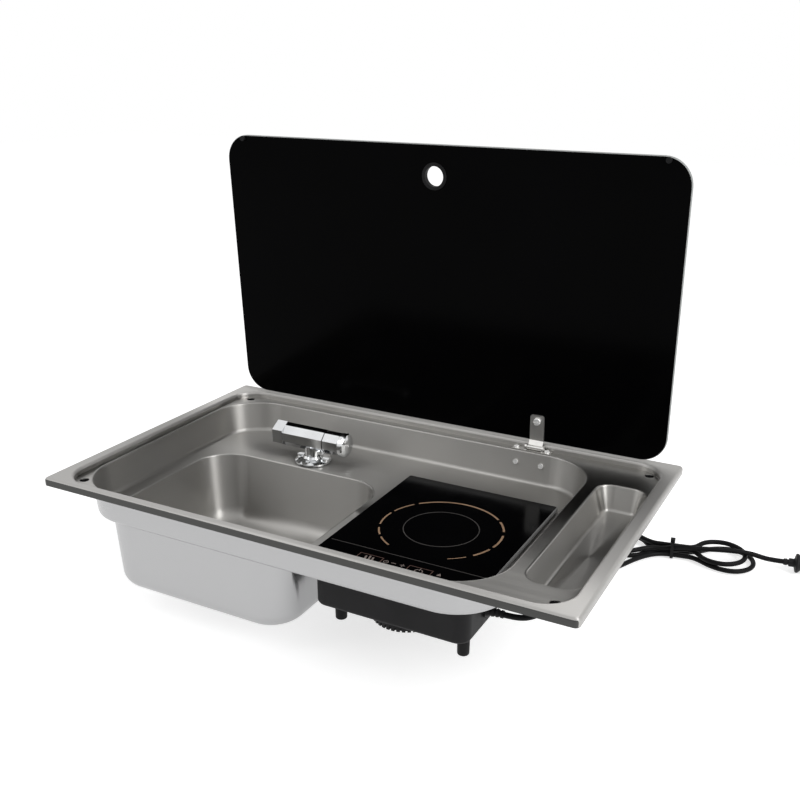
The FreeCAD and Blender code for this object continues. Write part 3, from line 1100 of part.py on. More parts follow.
# Plug lead: from the hank over its loops to the plug.
plug_z = floor + size("plug_dia / 2")
lead_route = [on_hank(waist, near, top), on_hank(waist + 17, near, top), on_hank(waist + 36, near + 2, top + 0.5),
              on_hank(waist + 56, near + 5, top + 0.8), on_hank(waist + 76, near + 8, top),
              on_hank(waist + 94, near + 9.5, top - 1.5), on_hank(waist + 110, near + 9.8, plug_z + 1),
              on_hank(waist + 124, near + 9.5, plug_z), on_hank(waist + 137, near + 9.5, plug_z)]
lead = feature("plug_lead", tube(rounded_route(lead_route, "plug_lead"), size("cord_dia"), "plug_lead"))

# Plug: a round moulded body with finger flanges and a ribbed neck, and two round pins.
PLUG = ("waist_length / 2 + 137", "9.5 - 1.5 * (cord_dia + hank_gap)", "floor_z + plug_dia / 2")
plug = hank_body("plug_body", *PLUG)
sk = sketch_on(plug, "profile", "XZ_Plane")
add_polygon(sk, [("0", "0"), ("0", "cord_dia / 2 + 1"), ("plug_neck * 0.3", "plug_neck_dia / 2 - 1"),
                 ("plug_neck * 0.3", "plug_neck_dia / 2 - 2"), ("plug_neck * 0.5", "plug_neck_dia / 2 - 2"),
                 ("plug_neck * 0.5", "plug_neck_dia / 2"), ("plug_neck", "plug_neck_dia / 2"),
                 ("plug_neck + 2", "plug_dia / 2 - 1"), ("plug_neck + 4", "plug_dia / 2"),
                 ("plug_neck + 6", "plug_dia / 2 - 1"), ("plug_neck + 9", "plug_dia / 2 - 4"),
                 ("plug_length - 9", "plug_dia / 2 - 4"), ("plug_length - 6", "plug_dia / 2 - 1"),
                 ("plug_length - 1", "plug_dia / 2"), ("plug_length", "plug_dia / 2 - 1"), ("plug_length", "0")])
revolve(plug, sk, "H_Axis")
pins = hank_body("plug_pins", *PLUG)
sk = sketch_on(pins, "pair", "YZ_Plane", z="plug_length")
add_circle(sk, "plug_pin", "-plug_pin_pitch / 2")
add_circle(sk, "plug_pin", "plug_pin_pitch / 2")
pad(pins, sk, "plug_pin_length")
tips = []
for k, edge in enumerate(pins.Tip.Shape.Edges):
    if edge.BoundBox.XMin > size("plug_length + plug_pin_length") - 0.01:
        tips.append("Edge%d" % (k + 1))
fillet(pins, tips, "plug_pin / 4")

# Every piece is checked before any file is written.
doc.recompute()
pieces = [o for o in doc.Objects if o.TypeId in ("PartDesign::Body", "Part::Feature")]
for obj in doc.Objects:
    if "Invalid" in obj.State or "Error" in obj.State:
        raise RuntimeError(obj.Name + " failed")
for piece in pieces:
    if piece.Shape.isNull() or not piece.Shape.isValid():
        raise RuntimeError(piece.Label + " has no valid shape")
os.makedirs("parts", exist_ok=True)
for piece in pieces:
    piece.Shape.exportStep("parts/%s.step" % piece.Label)
print(len(pieces), "pieces")
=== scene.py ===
# Drop-in steel sink with an induction hob, a bar tap and a glass lid on one hinge.
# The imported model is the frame, and each section below finishes one piece or group of like pieces.
import math
import bpy
from mathutils import Matrix, Vector


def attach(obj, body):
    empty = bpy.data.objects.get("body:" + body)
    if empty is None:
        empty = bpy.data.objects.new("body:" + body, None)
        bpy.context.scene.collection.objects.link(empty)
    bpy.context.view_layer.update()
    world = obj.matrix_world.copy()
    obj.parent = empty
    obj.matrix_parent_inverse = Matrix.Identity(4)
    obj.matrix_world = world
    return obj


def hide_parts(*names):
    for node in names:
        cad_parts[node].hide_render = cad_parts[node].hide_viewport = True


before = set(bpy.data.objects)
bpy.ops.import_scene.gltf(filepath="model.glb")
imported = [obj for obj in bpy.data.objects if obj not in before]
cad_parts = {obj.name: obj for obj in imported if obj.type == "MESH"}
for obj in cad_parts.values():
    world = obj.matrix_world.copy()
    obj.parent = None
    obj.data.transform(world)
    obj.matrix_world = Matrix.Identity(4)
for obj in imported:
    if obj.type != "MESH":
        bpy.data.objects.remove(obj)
bpy.ops.object.select_all(action="DESELECT")
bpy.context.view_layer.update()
scene = bpy.context.scene
scene.view_settings.view_transform = "Standard"

# Camera: a normal lens in front of the right half, looking down over the open unit to its back left.
# The shift keeps the framing of the photograph.
lens = bpy.data.cameras.new("studio_camera")
lens.sensor_width = 36.0
lens.lens = 43.83
lens.shift_x = -0.0057
lens.shift_y = 0.0562
camera = bpy.data.objects.new("studio_camera", lens)
scene.collection.objects.link(camera)
camera.matrix_world = Matrix(((0.88346, -0.17788, 0.43342, 0.5726),
                              (0.46849, 0.32856, -0.82010, -0.9861),
                              (0.00348, 0.92758, 0.37360, 0.5056),
                              (0.0, 0.0, 0.0, 1.0)))
scene.camera = camera

# Studio: a white sweep and soft lamps, with the floor under the waste spigot and the cord.
# The floor shows white to the camera and still takes the shadow of the unit.
FLOOR_Z = -0.1802
bpy.ops.mesh.primitive_plane_add(size=12.0, location=(0.0, 0.0, FLOOR_Z))
floor = bpy.context.active_object
floor.name = "studio_floor"
paper = bpy.data.materials.new("studio_paper")
paper.use_nodes = True
tree = paper.node_tree
tree.nodes.clear()
sheet_out = tree.nodes.new("ShaderNodeOutputMaterial")
sheet_add = tree.nodes.new("ShaderNodeAddShader")
sheet_matt = tree.nodes.new("ShaderNodeBsdfDiffuse")
sheet_matt.inputs["Color"].default_value = (0.72, 0.72, 0.72, 1.0)
sheet_glow = tree.nodes.new("ShaderNodeEmission")
sheet_ray = tree.nodes.new("ShaderNodeLightPath")
sheet_seen = tree.nodes.new("ShaderNodeMath")
sheet_seen.operation = "MAXIMUM"
sheet_lift = tree.nodes.new("ShaderNodeMath")
sheet_lift.operation = "MULTIPLY"
sheet_lift.inputs[1].default_value = 0.66
tree.links.new(sheet_ray.outputs["Is Camera Ray"], sheet_seen.inputs[0])
tree.links.new(sheet_ray.outputs["Is Glossy Ray"], sheet_seen.inputs[1])
tree.links.new(sheet_seen.outputs[0], sheet_lift.inputs[0])
tree.links.new(sheet_lift.outputs[0], sheet_glow.inputs["Strength"])
tree.links.new(sheet_matt.outputs[0], sheet_add.inputs[0])
tree.links.new(sheet_glow.outputs[0], sheet_add.inputs[1])
tree.links.new(sheet_add.outputs[0], sheet_out.inputs["Surface"])
floor.data.materials.append(paper)

room = bpy.data.worlds.new("studio_room")
scene.world = room
room.use_nodes = True
tree = room.node_tree
tree.nodes.clear()
room_out = tree.nodes.new("ShaderNodeOutputWorld")
room_mix = tree.nodes.new("ShaderNodeMixShader")
room_light = tree.nodes.new("ShaderNodeBackground")
room_light.inputs["Color"].default_value = (1.0, 1.0, 1.0, 1.0)
room_light.inputs["Strength"].default_value = 0.55
room_white = tree.nodes.new("ShaderNodeBackground")
room_white.inputs["Color"].default_value = (1.0, 1.0, 1.0, 1.0)
room_ray = tree.nodes.new("ShaderNodeLightPath")
room_seen = tree.nodes.new("ShaderNodeMath")
room_seen.operation = "MAXIMUM"
room_view = tree.nodes.new("ShaderNodeMath")
room_view.operation = "MAXIMUM"
room_place = tree.nodes.new("ShaderNodeTexCoord")
room_split = tree.nodes.new("ShaderNodeSeparateXYZ")
room_aside = tree.nodes.new("ShaderNodeMath")
room_aside.operation = "ABSOLUTE"
room_above = tree.nodes.new("ShaderNodeMath")
room_above.operation = "MULTIPLY_ADD"
room_above.inputs[1].default_value = 0.8
room_walls = tree.nodes.new("ShaderNodeMapRange")
room_walls.interpolation_type = "SMOOTHSTEP"
room_walls.inputs["From Min"].default_value = 0.25
room_walls.inputs["From Max"].default_value = 0.85
room_walls.inputs["To Min"].default_value = 0.36
room_walls.inputs["To Max"].default_value = 1.0
room_shade = tree.nodes.new("ShaderNodeMath")
room_shade.operation = "MAXIMUM"
tree.links.new(room_place.outputs["Generated"], room_split.inputs[0])
tree.links.new(room_split.outputs["X"], room_aside.inputs[0])
tree.links.new(room_split.outputs["Z"], room_above.inputs[0])
tree.links.new(room_aside.outputs[0], room_above.inputs[2])
tree.links.new(room_above.outputs[0], room_walls.inputs["Value"])
tree.links.new(room_walls.outputs["Result"], room_shade.inputs[0])
tree.links.new(room_seen.outputs[0], room_shade.inputs[1])
tree.links.new(room_shade.outputs[0], room_white.inputs["Strength"])
tree.links.new(room_ray.outputs["Is Camera Ray"], room_seen.inputs[0])
tree.links.new(room_ray.outputs["Is Transmission Ray"], room_seen.inputs[1])
tree.links.new(room_seen.outputs[0], room_view.inputs[0])
tree.links.new(room_ray.outputs["Is Glossy Ray"], room_view.inputs[1])
tree.links.new(room_view.outputs[0], room_mix.inputs[0])
tree.links.new(room_light.outputs[0], room_mix.inputs[1])
tree.links.new(room_white.outputs[0], room_mix.inputs[2])
tree.links.new(room_mix.outputs[0], room_out.inputs["Surface"])

for lamp_name, lamp_place, lamp_width, lamp_power in (("key_lamp", (-1.3, -1.5, 1.9), 0.8, 8.0),
                                                      ("side_lamp", (2.0, -0.35, 1.35), 0.8, 30.0)):
    lamp = bpy.data.lights.new(lamp_name, "AREA")
    lamp.shape = "RECTANGLE"
    lamp.size = lamp_width
    lamp.size_y = 2.0 * lamp_width
    lamp.energy = lamp_power
    stand = bpy.data.objects.new(lamp_name, lamp)
    scene.collection.objects.link(stand)
    stand.location = lamp_place
    stand.rotation_mode = "QUATERNION"
    stand.rotation_quaternion = (-Vector(lamp_place)).to_track_quat("-Z", "Y")

# Mains cord: a round black lead, moulded into the plug at its far end and folded into a tied hank.
# It leaves the gland in the side of the hob, falls behind the unit and lies on the floor.
CORD_WIDE = 0.007
CORD_EXIT = (0.2275, -0.091, -0.085)
PITCH = 0.0076
LOW = -0.1745
HIGH = LOW + PITCH
TOP = HIGH + PITCH
NEAR, INNER, FAR = -1.5 * PITCH, -0.5 * PITCH, 0.5 * PITCH
HANK_X, HANK_Y, HANK_TURN = 0.326, 0.325, 11.0
HANK_WAIST, TIE_SIDE = 0.0313, 0.012
TURN_R, TURN_BACK = 0.0375, 0.034
PLUG_Z = -0.166


def on_hank(x, y, z):
    """A point of the hank, which lies on the floor turned a little from the unit."""
    a = math.radians(HANK_TURN)
    return (HANK_X + x * math.cos(a) - y * math.sin(a), HANK_Y + x * math.sin(a) + y * math.cos(a), z)


def hank_loop(side, y_in, y_out, z, reach):
    """The turn at one end of the hank: it opens from the waist, goes round and comes back in."""
    middle = (y_in + y_out) / 2
    way = 1.0 if y_out > y_in else -1.0
    hub = reach - TURN_BACK
    angles = [math.radians(a) for a in (-126, -76, -25, 25, 76, 126)]
    round_end = [(hub + TURN_R * math.cos(a), middle + way * TURN_R * math.sin(a)) for a in angles]
    turn = [(HANK_WAIST, y_in)] + round_end + [(HANK_WAIST, y_out)]
    return [on_hank(side * x, y, z) for x, y in turn]


def hank_pass(way, y, z_in, z_out):
    """Two points where a strand goes through the tie, one on each side of it."""
    return [on_hank(-way * TIE_SIDE, y, z_in), on_hank(way * TIE_SIDE, y, z_out)]


cord_points = [CORD_EXIT, (0.2455, -0.0910, -0.0850), (0.2622, -0.0843, -0.0810),
               (0.2751, -0.0718, -0.0730), (0.2835, -0.0547, -0.0640), (0.2873, -0.0330, -0.0560),
               (0.2873, -0.0050, -0.0520), (0.2860, 0.0310, -0.0560), (0.2760, 0.0780, -0.0780),
               (0.2710, 0.1220, -0.1040), (0.2660, 0.1640, -0.1310), (0.2630, 0.1960, -0.1520)]
ease = [on_hank(0.003, NEAR, LOW)]
for heading, step in ((0, 0.008), (11, 0.011), (26, 0.012), (40, 0.014), (48, 0.020), (55, 0.028)):
    a = math.radians(heading + HANK_TURN)
    ease.insert(0, (ease[0][0] - step * math.cos(a), ease[0][1] - step * math.sin(a), LOW))
cord_points += [(ease[0][0] - 0.008, ease[0][1] - 0.025, LOW + 0.003)] + ease
cord_points += [on_hank(0.014, NEAR, LOW)]
cord_points += hank_loop(1, NEAR, FAR, LOW, 0.114) + hank_pass(-1, FAR, LOW, LOW)
cord_points += hank_loop(-1, FAR, INNER, LOW, 0.102) + hank_pass(1, INNER, LOW, HIGH)
cord_points += hank_loop(1, INNER, FAR, HIGH, 0.102) + hank_pass(-1, FAR, HIGH, HIGH)
cord_points += hank_loop(-1, FAR, NEAR, HIGH, 0.114) + hank_pass(1, NEAR, HIGH, TOP)
cord_points += [on_hank(0.034, NEAR, TOP), on_hank(0.053, NEAR + 0.002, TOP + 0.0005),
                on_hank(0.073, NEAR + 0.005, TOP + 0.0008), on_hank(0.093, NEAR + 0.008, TOP),
                on_hank(0.111, NEAR + 0.0095, TOP - 0.0015), on_hank(0.127, NEAR + 0.0098, PLUG_Z + 0.001),
                on_hank(0.141, NEAR + 0.0095, PLUG_Z), on_hank(0.154, NEAR + 0.0095, PLUG_Z)]
lead = bpy.data.curves.new("mains_cord", "CURVE")
lead.dimensions = "3D"
lead.bevel_depth = CORD_WIDE / 2
lead.bevel_resolution = 5
lead.use_fill_caps = True
lead.resolution_u = 8
line = lead.splines.new("NURBS")
line.points.add(len(cord_points) - 1)
for point, place in zip(line.points, cord_points):
    point.co = (*place, 1.0)
line.order_u = 3
line.use_endpoint_u = True
mains_cord = bpy.data.objects.new("mains_cord", lead)
scene.collection.objects.link(mains_cord)

# The grain that every finish shares: fine streaks drawn out along one way, and wide soft patches.
grain = bpy.data.node_groups.new("surface_grain", "ShaderNodeTree")
grain.interface.new_socket("Stretch", in_out="INPUT", socket_type="NodeSocketVector")
grain.interface.new_socket("Patch", in_out="INPUT", socket_type="NodeSocketFloat")
grain.interface.new_socket("Streak", in_out="OUTPUT", socket_type="NodeSocketFloat")
grain.interface.new_socket("Cloud", in_out="OUTPUT", socket_type="NodeSocketFloat")
grain_in = grain.nodes.new("NodeGroupInput")
grain_out = grain.nodes.new("NodeGroupOutput")
grain_place = grain.nodes.new("ShaderNodeTexCoord")
grain_pull = grain.nodes.new("ShaderNodeVectorMath")
grain_pull.operation = "MULTIPLY"
grain_fine = grain.nodes.new("ShaderNodeTexNoise")
grain_fine.inputs["Scale"].default_value = 1.0
grain_fine.inputs["Detail"].default_value = 5.0
grain_fine.inputs["Roughness"].default_value = 0.65
grain_wide = grain.nodes.new("ShaderNodeTexNoise")
grain_wide.inputs["Detail"].default_value = 3.0
grain.links.new(grain_place.outputs["Object"], grain_pull.inputs[0])
grain.links.new(grain_in.outputs["Stretch"], grain_pull.inputs[1])
grain.links.new(grain_pull.outputs[0], grain_fine.inputs["Vector"])
grain.links.new(grain_place.outputs["Object"], grain_wide.inputs["Vector"])
grain.links.new(grain_in.outputs["Patch"], grain_wide.inputs["Scale"])
grain.links.new(grain_fine.outputs["Fac"], grain_out.inputs["Streak"])
grain.links.new(grain_wide.outputs["Fac"], grain_out.inputs["Cloud"])


def finish(name, dark, light, gloss, dull, stretch, patch, relief, metal=0.0, shine=0.5):
    """A finish whose tone drifts in wide patches and whose sheen and relief follow a fine grain."""
    made = bpy.data.materials.new(name)
    made.use_nodes = True
    nodes, links = made.node_tree.nodes, made.node_tree.links
    skin = nodes["Principled BSDF"]
    skin.inputs["Metallic"].default_value = metal
    skin.inputs["Specular IOR Level"].default_value = shine
    noise = nodes.new("ShaderNodeGroup")
    noise.node_tree = grain
    noise.inputs["Stretch"].default_value = stretch
    noise.inputs["Patch"].default_value = patch
    tone = nodes.new("ShaderNodeMapRange")
    tone.name = "tone"
    tone.inputs["From Min"].default_value = 0.3
    tone.inputs["From Max"].default_value = 0.7
    blend = nodes.new("ShaderNodeMix")
    blend.name = "blend"
    blend.data_type = "RGBA"
    blend.inputs["A"].default_value = (*dark, 1.0)
    blend.inputs["B"].default_value = (*light, 1.0)
    sheen = nodes.new("ShaderNodeMapRange")
    sheen.name = "sheen"
    sheen.inputs["From Min"].default_value = 0.3
    sheen.inputs["From Max"].default_value = 0.7
    sheen.inputs["To Min"].default_value = gloss
    sheen.inputs["To Max"].default_value = dull
    bump = nodes.new("ShaderNodeBump")
    bump.inputs["Strength"].default_value = relief
    bump.inputs["Distance"].default_value = 0.0002
    links.new(noise.outputs["Cloud"], tone.inputs["Value"])
    links.new(tone.outputs["Result"], blend.inputs["Factor"])
    links.new(blend.outputs["Result"], skin.inputs["Base Color"])
    links.new(noise.outputs["Streak"], sheen.inputs["Value"])
    links.new(sheen.outputs["Result"], skin.inputs["Roughness"])
    links.new(noise.outputs["Streak"], bump.inputs["Height"])
    links.new(bump.outputs["Normal"], skin.inputs["Normal"])
    return made


def dress(made, *names):
    """Give CAD nodes this finish."""
    for name in names:
        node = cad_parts[name]
        if not node.material_slots:
            node.data.materials.append(made)
        for place in node.material_slots:
            place.material = made


cord_skin = finish("cord_rubber", (0.004, 0.004, 0.0045), (0.007, 0.007, 0.0075), 0.38, 0.54,
                   (900.0, 900.0, 900.0), 40.0, 0.25, shine=0.1)
lead.materials.append(cord_skin)
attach(mains_cord, "unit")
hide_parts("power_cord", "cord_hank", "plug_lead")

# Rim, tub, bowl and tray: one skin of brushed stainless sheet, pressed and welded along flat lands.
# Inside it is satin and brushed level; the back of the sheet is smoother and the raised flange duller.
# The front and back of the turned-down lip are darkened with a painted dark reflection and shade.
STEEL_DARK, STEEL_LIGHT = (0.385, 0.377, 0.362), (0.445, 0.436, 0.420)
STEEL_BRUSH = (5.0, 650.0, 650.0)
BACK_TONE, FLANGE_TONE, LIP_PAINTED_SHADE = (0.43, 0.43, 0.435), (0.50, 0.49, 0.475), (0.07, 0.07, 0.068)
FLANGE_LOW = 0.0062
LIP_OUT, LIP_TOP = 0.2085, 0.0082


def overlay(made, mask, tone, dull):
    """Where the mask is 1, the finish takes another tone and sheen."""
    nodes, links = made.node_tree.nodes, made.node_tree.links
    skin = nodes["Principled BSDF"]
    for socket, kind, value in (("Base Color", "RGBA", (*tone, 1.0)), ("Roughness", "FLOAT", dull)):
        under = skin.inputs[socket].links[0].from_socket
        over = nodes.new("ShaderNodeMix")
        over.data_type = kind
        over.inputs["B"].default_value = value
        links.new(mask, over.inputs["Factor"])
        links.new(under, over.inputs["A"])
        links.new(over.outputs["Result"], skin.inputs[socket])


def back_of_sheet(made, mouth):
    """A mask of the faces of a pressed vessel that look away from a point over its mouth."""
    nodes, links = made.node_tree.nodes, made.node_tree.links
    place = nodes.new("ShaderNodeTexCoord")
    away = nodes.new("ShaderNodeVectorMath")
    away.operation = "SUBTRACT"
    away.inputs[1].default_value = mouth
    turned = nodes.new("ShaderNodeVectorMath")
    turned.operation = "DOT_PRODUCT"
    mask = nodes.new("ShaderNodeMath")
    mask.operation = "GREATER_THAN"
    mask.inputs[1].default_value = 0.0
    links.new(place.outputs["Object"], away.inputs[0])
    links.new(away.outputs[0], turned.inputs[0])
    links.new(place.outputs["Normal"], turned.inputs[1])
    links.new(turned.outputs["Value"], mask.inputs[0])
    return mask.outputs[0]


def flange_of_rim(made):
    """A mask of the raised flange and its lip, above the deck."""
    nodes, links = made.node_tree.nodes, made.node_tree.links
    place = nodes.new("ShaderNodeTexCoord")
    split = nodes.new("ShaderNodeSeparateXYZ")
    mask = nodes.new("ShaderNodeMath")
    mask.operation = "GREATER_THAN"
    mask.inputs[1].default_value = FLANGE_LOW
    links.new(place.outputs["Object"], split.inputs[0])
    links.new(split.outputs["Z"], mask.inputs[0])
    return mask.outputs[0]


def lip_of_rim(made):
    """A mask of the front and back faces of the turned-down lip, below the round of the flange."""
    nodes, links = made.node_tree.nodes, made.node_tree.links
    place = nodes.new("ShaderNodeTexCoord")
    split = nodes.new("ShaderNodeSeparateXYZ")
    reach = nodes.new("ShaderNodeMath")
    reach.operation = "ABSOLUTE"
    outer = nodes.new("ShaderNodeMath")
    outer.operation = "GREATER_THAN"
    outer.inputs[1].default_value = LIP_OUT
    below = nodes.new("ShaderNodeMath")
    below.operation = "LESS_THAN"
    below.inputs[1].default_value = LIP_TOP
    both = nodes.new("ShaderNodeMath")
    both.operation = "MULTIPLY"
    links.new(place.outputs["Object"], split.inputs[0])
    links.new(split.outputs["Y"], reach.inputs[0])
    links.new(reach.outputs[0], outer.inputs[0])
    links.new(split.outputs["Z"], below.inputs[0])
    links.new(outer.outputs[0], both.inputs[0])
    links.new(below.outputs[0], both.inputs[1])
    return both.outputs[0]


for vessel, gloss, metal, mouth in (("rim_deck", 0.31, 1.0, None),
                                    ("tub", 0.40, 0.88, (-0.0395, -0.0055, 0.05)),
                                    ("bowl", 0.40, 0.88, (-0.15675, -0.0525, 0.05)),
                                    ("tray", 0.34, 0.9, (0.2975, -0.0105, 0.05))):
    steel = finish(vessel + "_steel", STEEL_DARK, STEEL_LIGHT, gloss, gloss + 0.06,
                   STEEL_BRUSH, 6.0, 0.04, metal)
    brushed = steel.node_tree.nodes["Principled BSDF"]
    brushed.inputs["Anisotropic"].default_value = 0.9
    brushed.inputs["Anisotropic Rotation"].default_value = 0.25
    if mouth:
        overlay(steel, back_of_sheet(steel, mouth), BACK_TONE, 0.22)
    else:
        flange = flange_of_rim(steel)
        overlay(steel, flange, FLANGE_TONE, 0.5)
        satin = steel.node_tree.nodes.new("ShaderNodeMapRange")
        satin.inputs["To Min"].default_value = metal
        satin.inputs["To Max"].default_value = 0.7
        steel.node_tree.links.new(flange, satin.inputs["Value"])
        steel.node_tree.links.new(satin.outputs["Result"], brushed.inputs["Metallic"])
        # Painted dark reflection and shade on the front and back faces of the lip.
        overlay(steel, lip_of_rim(steel), LIP_PAINTED_SHADE, 0.32)
    dress(steel, vessel)

# Lid: one sheet of black toughened glass with ground edges, bolted to the hinge strap.
# It swings up on the hinge and stands open; its edges are told from its faces by how they are turned.
LID_FACES = (0.0, -0.9988, -0.0488)
LID_EDGE_TURN = 0.75
LID_EDGE_TONE = (0.34, 0.35, 0.345)
lid_black = finish("lid_black_glass", (0.0008, 0.0008, 0.0009), (0.0013, 0.0013, 0.0015), 0.15, 0.16,
                   (14.0, 14.0, 14.0), 5.0, 0.0, shine=0.02)
lid_nodes, lid_links = lid_black.node_tree.nodes, lid_black.node_tree.links
lid_place = lid_nodes.new("ShaderNodeTexCoord")
lid_turn = lid_nodes.new("ShaderNodeVectorMath")
lid_turn.operation = "DOT_PRODUCT"
lid_turn.inputs[1].default_value = LID_FACES
lid_flat = lid_nodes.new("ShaderNodeMath")
lid_flat.operation = "ABSOLUTE"
lid_edge = lid_nodes.new("ShaderNodeMath")
lid_edge.operation = "LESS_THAN"
lid_edge.inputs[1].default_value = LID_EDGE_TURN
lid_links.new(lid_place.outputs["Normal"], lid_turn.inputs[0])
lid_links.new(lid_turn.outputs["Value"], lid_flat.inputs[0])
lid_links.new(lid_flat.outputs[0], lid_edge.inputs[0])
overlay(lid_black, lid_edge.outputs[0], LID_EDGE_TONE, 0.4)
dress(lid_black, "lid_glass")

# Finger ring and rest pads: soft rubber pressed into the lid and stuck under its free edge.
# The same rubber seals the tap, the waste and the hob, and ties the cord.
soft_rubber = finish("soft_rubber", (0.005, 0.005, 0.0055), (0.010, 0.010, 0.0105), 0.45, 0.65,
                     (1400.0, 1400.0, 1400.0), 60.0, 0.3, shine=0.15)
dress(soft_rubber, "finger_grommet", "lid_pads", "tap_gasket", "waste_gasket", "hob_seal", "hob_feet",
      "cord_tie")

# Corner collars: black rubber sleeves stuck under the deck round its four corner holes, dark pieces put in
# as painted shade so that the holes show dark.
# Each is an open tube with a flange at its top, thickened outwards so that the screw hole stays clear.
COLLAR_X, COLLAR_Y = 0.3145, 0.177
COLLAR_LONG, COLLAR_BORE, COLLAR_WALL = 0.010, 0.0062, 0.0012
COLLAR_FLARE = 1.4
bpy.ops.object.select_all(action="DESELECT")
bpy.ops.mesh.primitive_cylinder_add(vertices=48, radius=COLLAR_BORE, depth=COLLAR_LONG,
                                    end_fill_type="NOTHING",
                                    location=(COLLAR_X, COLLAR_Y, -COLLAR_LONG / 2))
collar = bpy.context.active_object
bpy.ops.object.transform_apply(location=True, rotation=False, scale=False)
bpy.ops.object.mode_set(mode="EDIT")
bpy.ops.mesh.select_mode(type="VERT")
bpy.ops.mesh.select_all(action="DESELECT")
bpy.ops.object.mode_set(mode="OBJECT")
for corner in collar.data.vertices:
    corner.select = corner.co.z > -COLLAR_LONG / 2
bpy.ops.object.mode_set(mode="EDIT")
bpy.ops.mesh.select_mode(type="EDGE")
bpy.ops.mesh.extrude_edges_move()
bpy.ops.transform.resize(value=(COLLAR_FLARE, COLLAR_FLARE, 1.0),
                         center_override=(COLLAR_X, COLLAR_Y, 0.0))
bpy.ops.object.mode_set(mode="OBJECT")
wall = collar.modifiers.new("wall", "SOLIDIFY")
wall.thickness = COLLAR_WALL
wall.offset = 1.0
bpy.ops.object.modifier_apply(modifier="wall")
rims = collar.modifiers.new("rims", "BEVEL")
rims.width = 0.0003
rims.segments = 2
bpy.ops.object.modifier_apply(modifier="rims")
bpy.ops.object.shade_smooth_by_angle(angle=math.radians(40.0))
collar.data.materials.append(soft_rubber)
for name, across, along in (("right_back", 0.0, 0.0), ("right_front", 0.0, -2.0), ("left_back", -2.0, 0.0),
                            ("left_front", -2.0, -2.0)):
    piece = collar
    if name != "right_back":
        bpy.ops.object.select_all(action="DESELECT")
        collar.select_set(True)
        bpy.context.view_layer.objects.active = collar
        bpy.ops.object.duplicate()
        piece = bpy.context.active_object
        piece.location = (across * COLLAR_X, along * COLLAR_Y, 0.0)
        bpy.ops.object.transform_apply(location=True, rotation=False, scale=False)
    # Each sleeve is painted shade: a dark tube where the hole would otherwise show only shade below the
    # deck.
    piece.name = "painted_shade_collar_" + name
    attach(piece, "unit")
bpy.ops.object.select_all(action="DESELECT")

# Hinge: a cranked steel strap on the lid, a pin and a bracket on the deck.
# Pan head screws with turned nuts hold it through the deck and the back wall.
hinge_steel = finish("hinge_steel", (0.60, 0.595, 0.58), (0.72, 0.71, 0.69), 0.34, 0.48,
                     (300.0, 20.0, 300.0), 30.0, 0.15, 1.0)
dress(hinge_steel, "hinge_strap", "hinge_bracket", "hinge_stiffener", "hinge_pin")
bright_screw = finish("bright_screw", (0.86, 0.86, 0.85), (0.95, 0.95, 0.94), 0.22, 0.34,
                      (800.0, 800.0, 800.0), 120.0, 0.1, 0.35)
dress(bright_screw, "strap_bolt", "strap_nut", "hinge_screws", "hinge_nuts", "waste_screw", "hob_clamps")

# Tap: chrome plated brass, a faceted bar on a clawed base with an outlet nut and a knob.
# A plain brass shank and back nut hold it to the tub floor, and a moulded screen sits in its outlet.
chrome = finish("tap_chrome", (0.70, 0.71, 0.72), (0.80, 0.81, 0.82), 0.035, 0.10,
                (120.0, 120.0, 120.0), 25.0, 0.0, 1.0)
dress(chrome, "tap_base", "tap_body", "tap_outlet", "tap_knob")
brass = finish("raw_brass", (0.52, 0.36, 0.14), (0.66, 0.48, 0.22), 0.25, 0.4,
               (500.0, 500.0, 500.0), 60.0, 0.15, 1.0)
dress(brass, "tap_shank", "tap_backnut", "tap_cartridge")
screen_grey = finish("screen_grey", (0.20, 0.20, 0.20), (0.30, 0.30, 0.30), 0.4, 0.6,
                     (900.0, 900.0, 900.0), 80.0, 0.3)
dress(screen_grey, "tap_aerator")

# Waste: a pressed steel strainer cup in the bowl and a moulded grey body with a hose spigot below it.
# One screw through the cup clamps the two on the bowl floor.
strainer_steel = finish("strainer_steel", (0.50, 0.49, 0.47), (0.66, 0.65, 0.63), 0.16, 0.3,
                        (260.0, 260.0, 260.0), 40.0, 0.1, 1.0)
dress(strainer_steel, "waste_strainer")
waste_grey = finish("waste_grey", (0.22, 0.22, 0.22), (0.30, 0.30, 0.30), 0.45, 0.6,
                    (1100.0, 1100.0, 1100.0), 50.0, 0.25)
dress(waste_grey, "waste_body")

# Hob plate: a sheet of black glass on a seal, let into the tub floor.
# Its ground edge shows as a thin pale line.
HOB_X, HOB_Y = 0.1095, -0.020
HOB_INNER = (0.1067, 0.1297, 0.0)
HOB_EDGE_TONE = (0.32, 0.32, 0.32)
hob_black = finish("hob_black_glass", (0.0012, 0.0012, 0.0014), (0.0021, 0.0021, 0.0024), 0.10, 0.16,
                   (20.0, 20.0, 20.0), 9.0, 0.0, shine=0.06)
hob_nodes, hob_links = hob_black.node_tree.nodes, hob_black.node_tree.links
hob_place = hob_nodes.new("ShaderNodeTexCoord")
hob_from = hob_nodes.new("ShaderNodeVectorMath")
hob_from.operation = "SUBTRACT"
hob_from.inputs[1].default_value = (HOB_X, HOB_Y, 0.0)
hob_reach = hob_nodes.new("ShaderNodeVectorMath")
hob_reach.operation = "ABSOLUTE"
hob_past = hob_nodes.new("ShaderNodeVectorMath")
hob_past.operation = "SUBTRACT"
hob_past.inputs[1].default_value = HOB_INNER
hob_split = hob_nodes.new("ShaderNodeSeparateXYZ")
hob_most = hob_nodes.new("ShaderNodeMath")
hob_most.operation = "MAXIMUM"
hob_edge = hob_nodes.new("ShaderNodeMath")
hob_edge.operation = "GREATER_THAN"
hob_edge.inputs[1].default_value = 0.0
hob_links.new(hob_place.outputs["Object"], hob_from.inputs[0])
hob_links.new(hob_from.outputs[0], hob_reach.inputs[0])
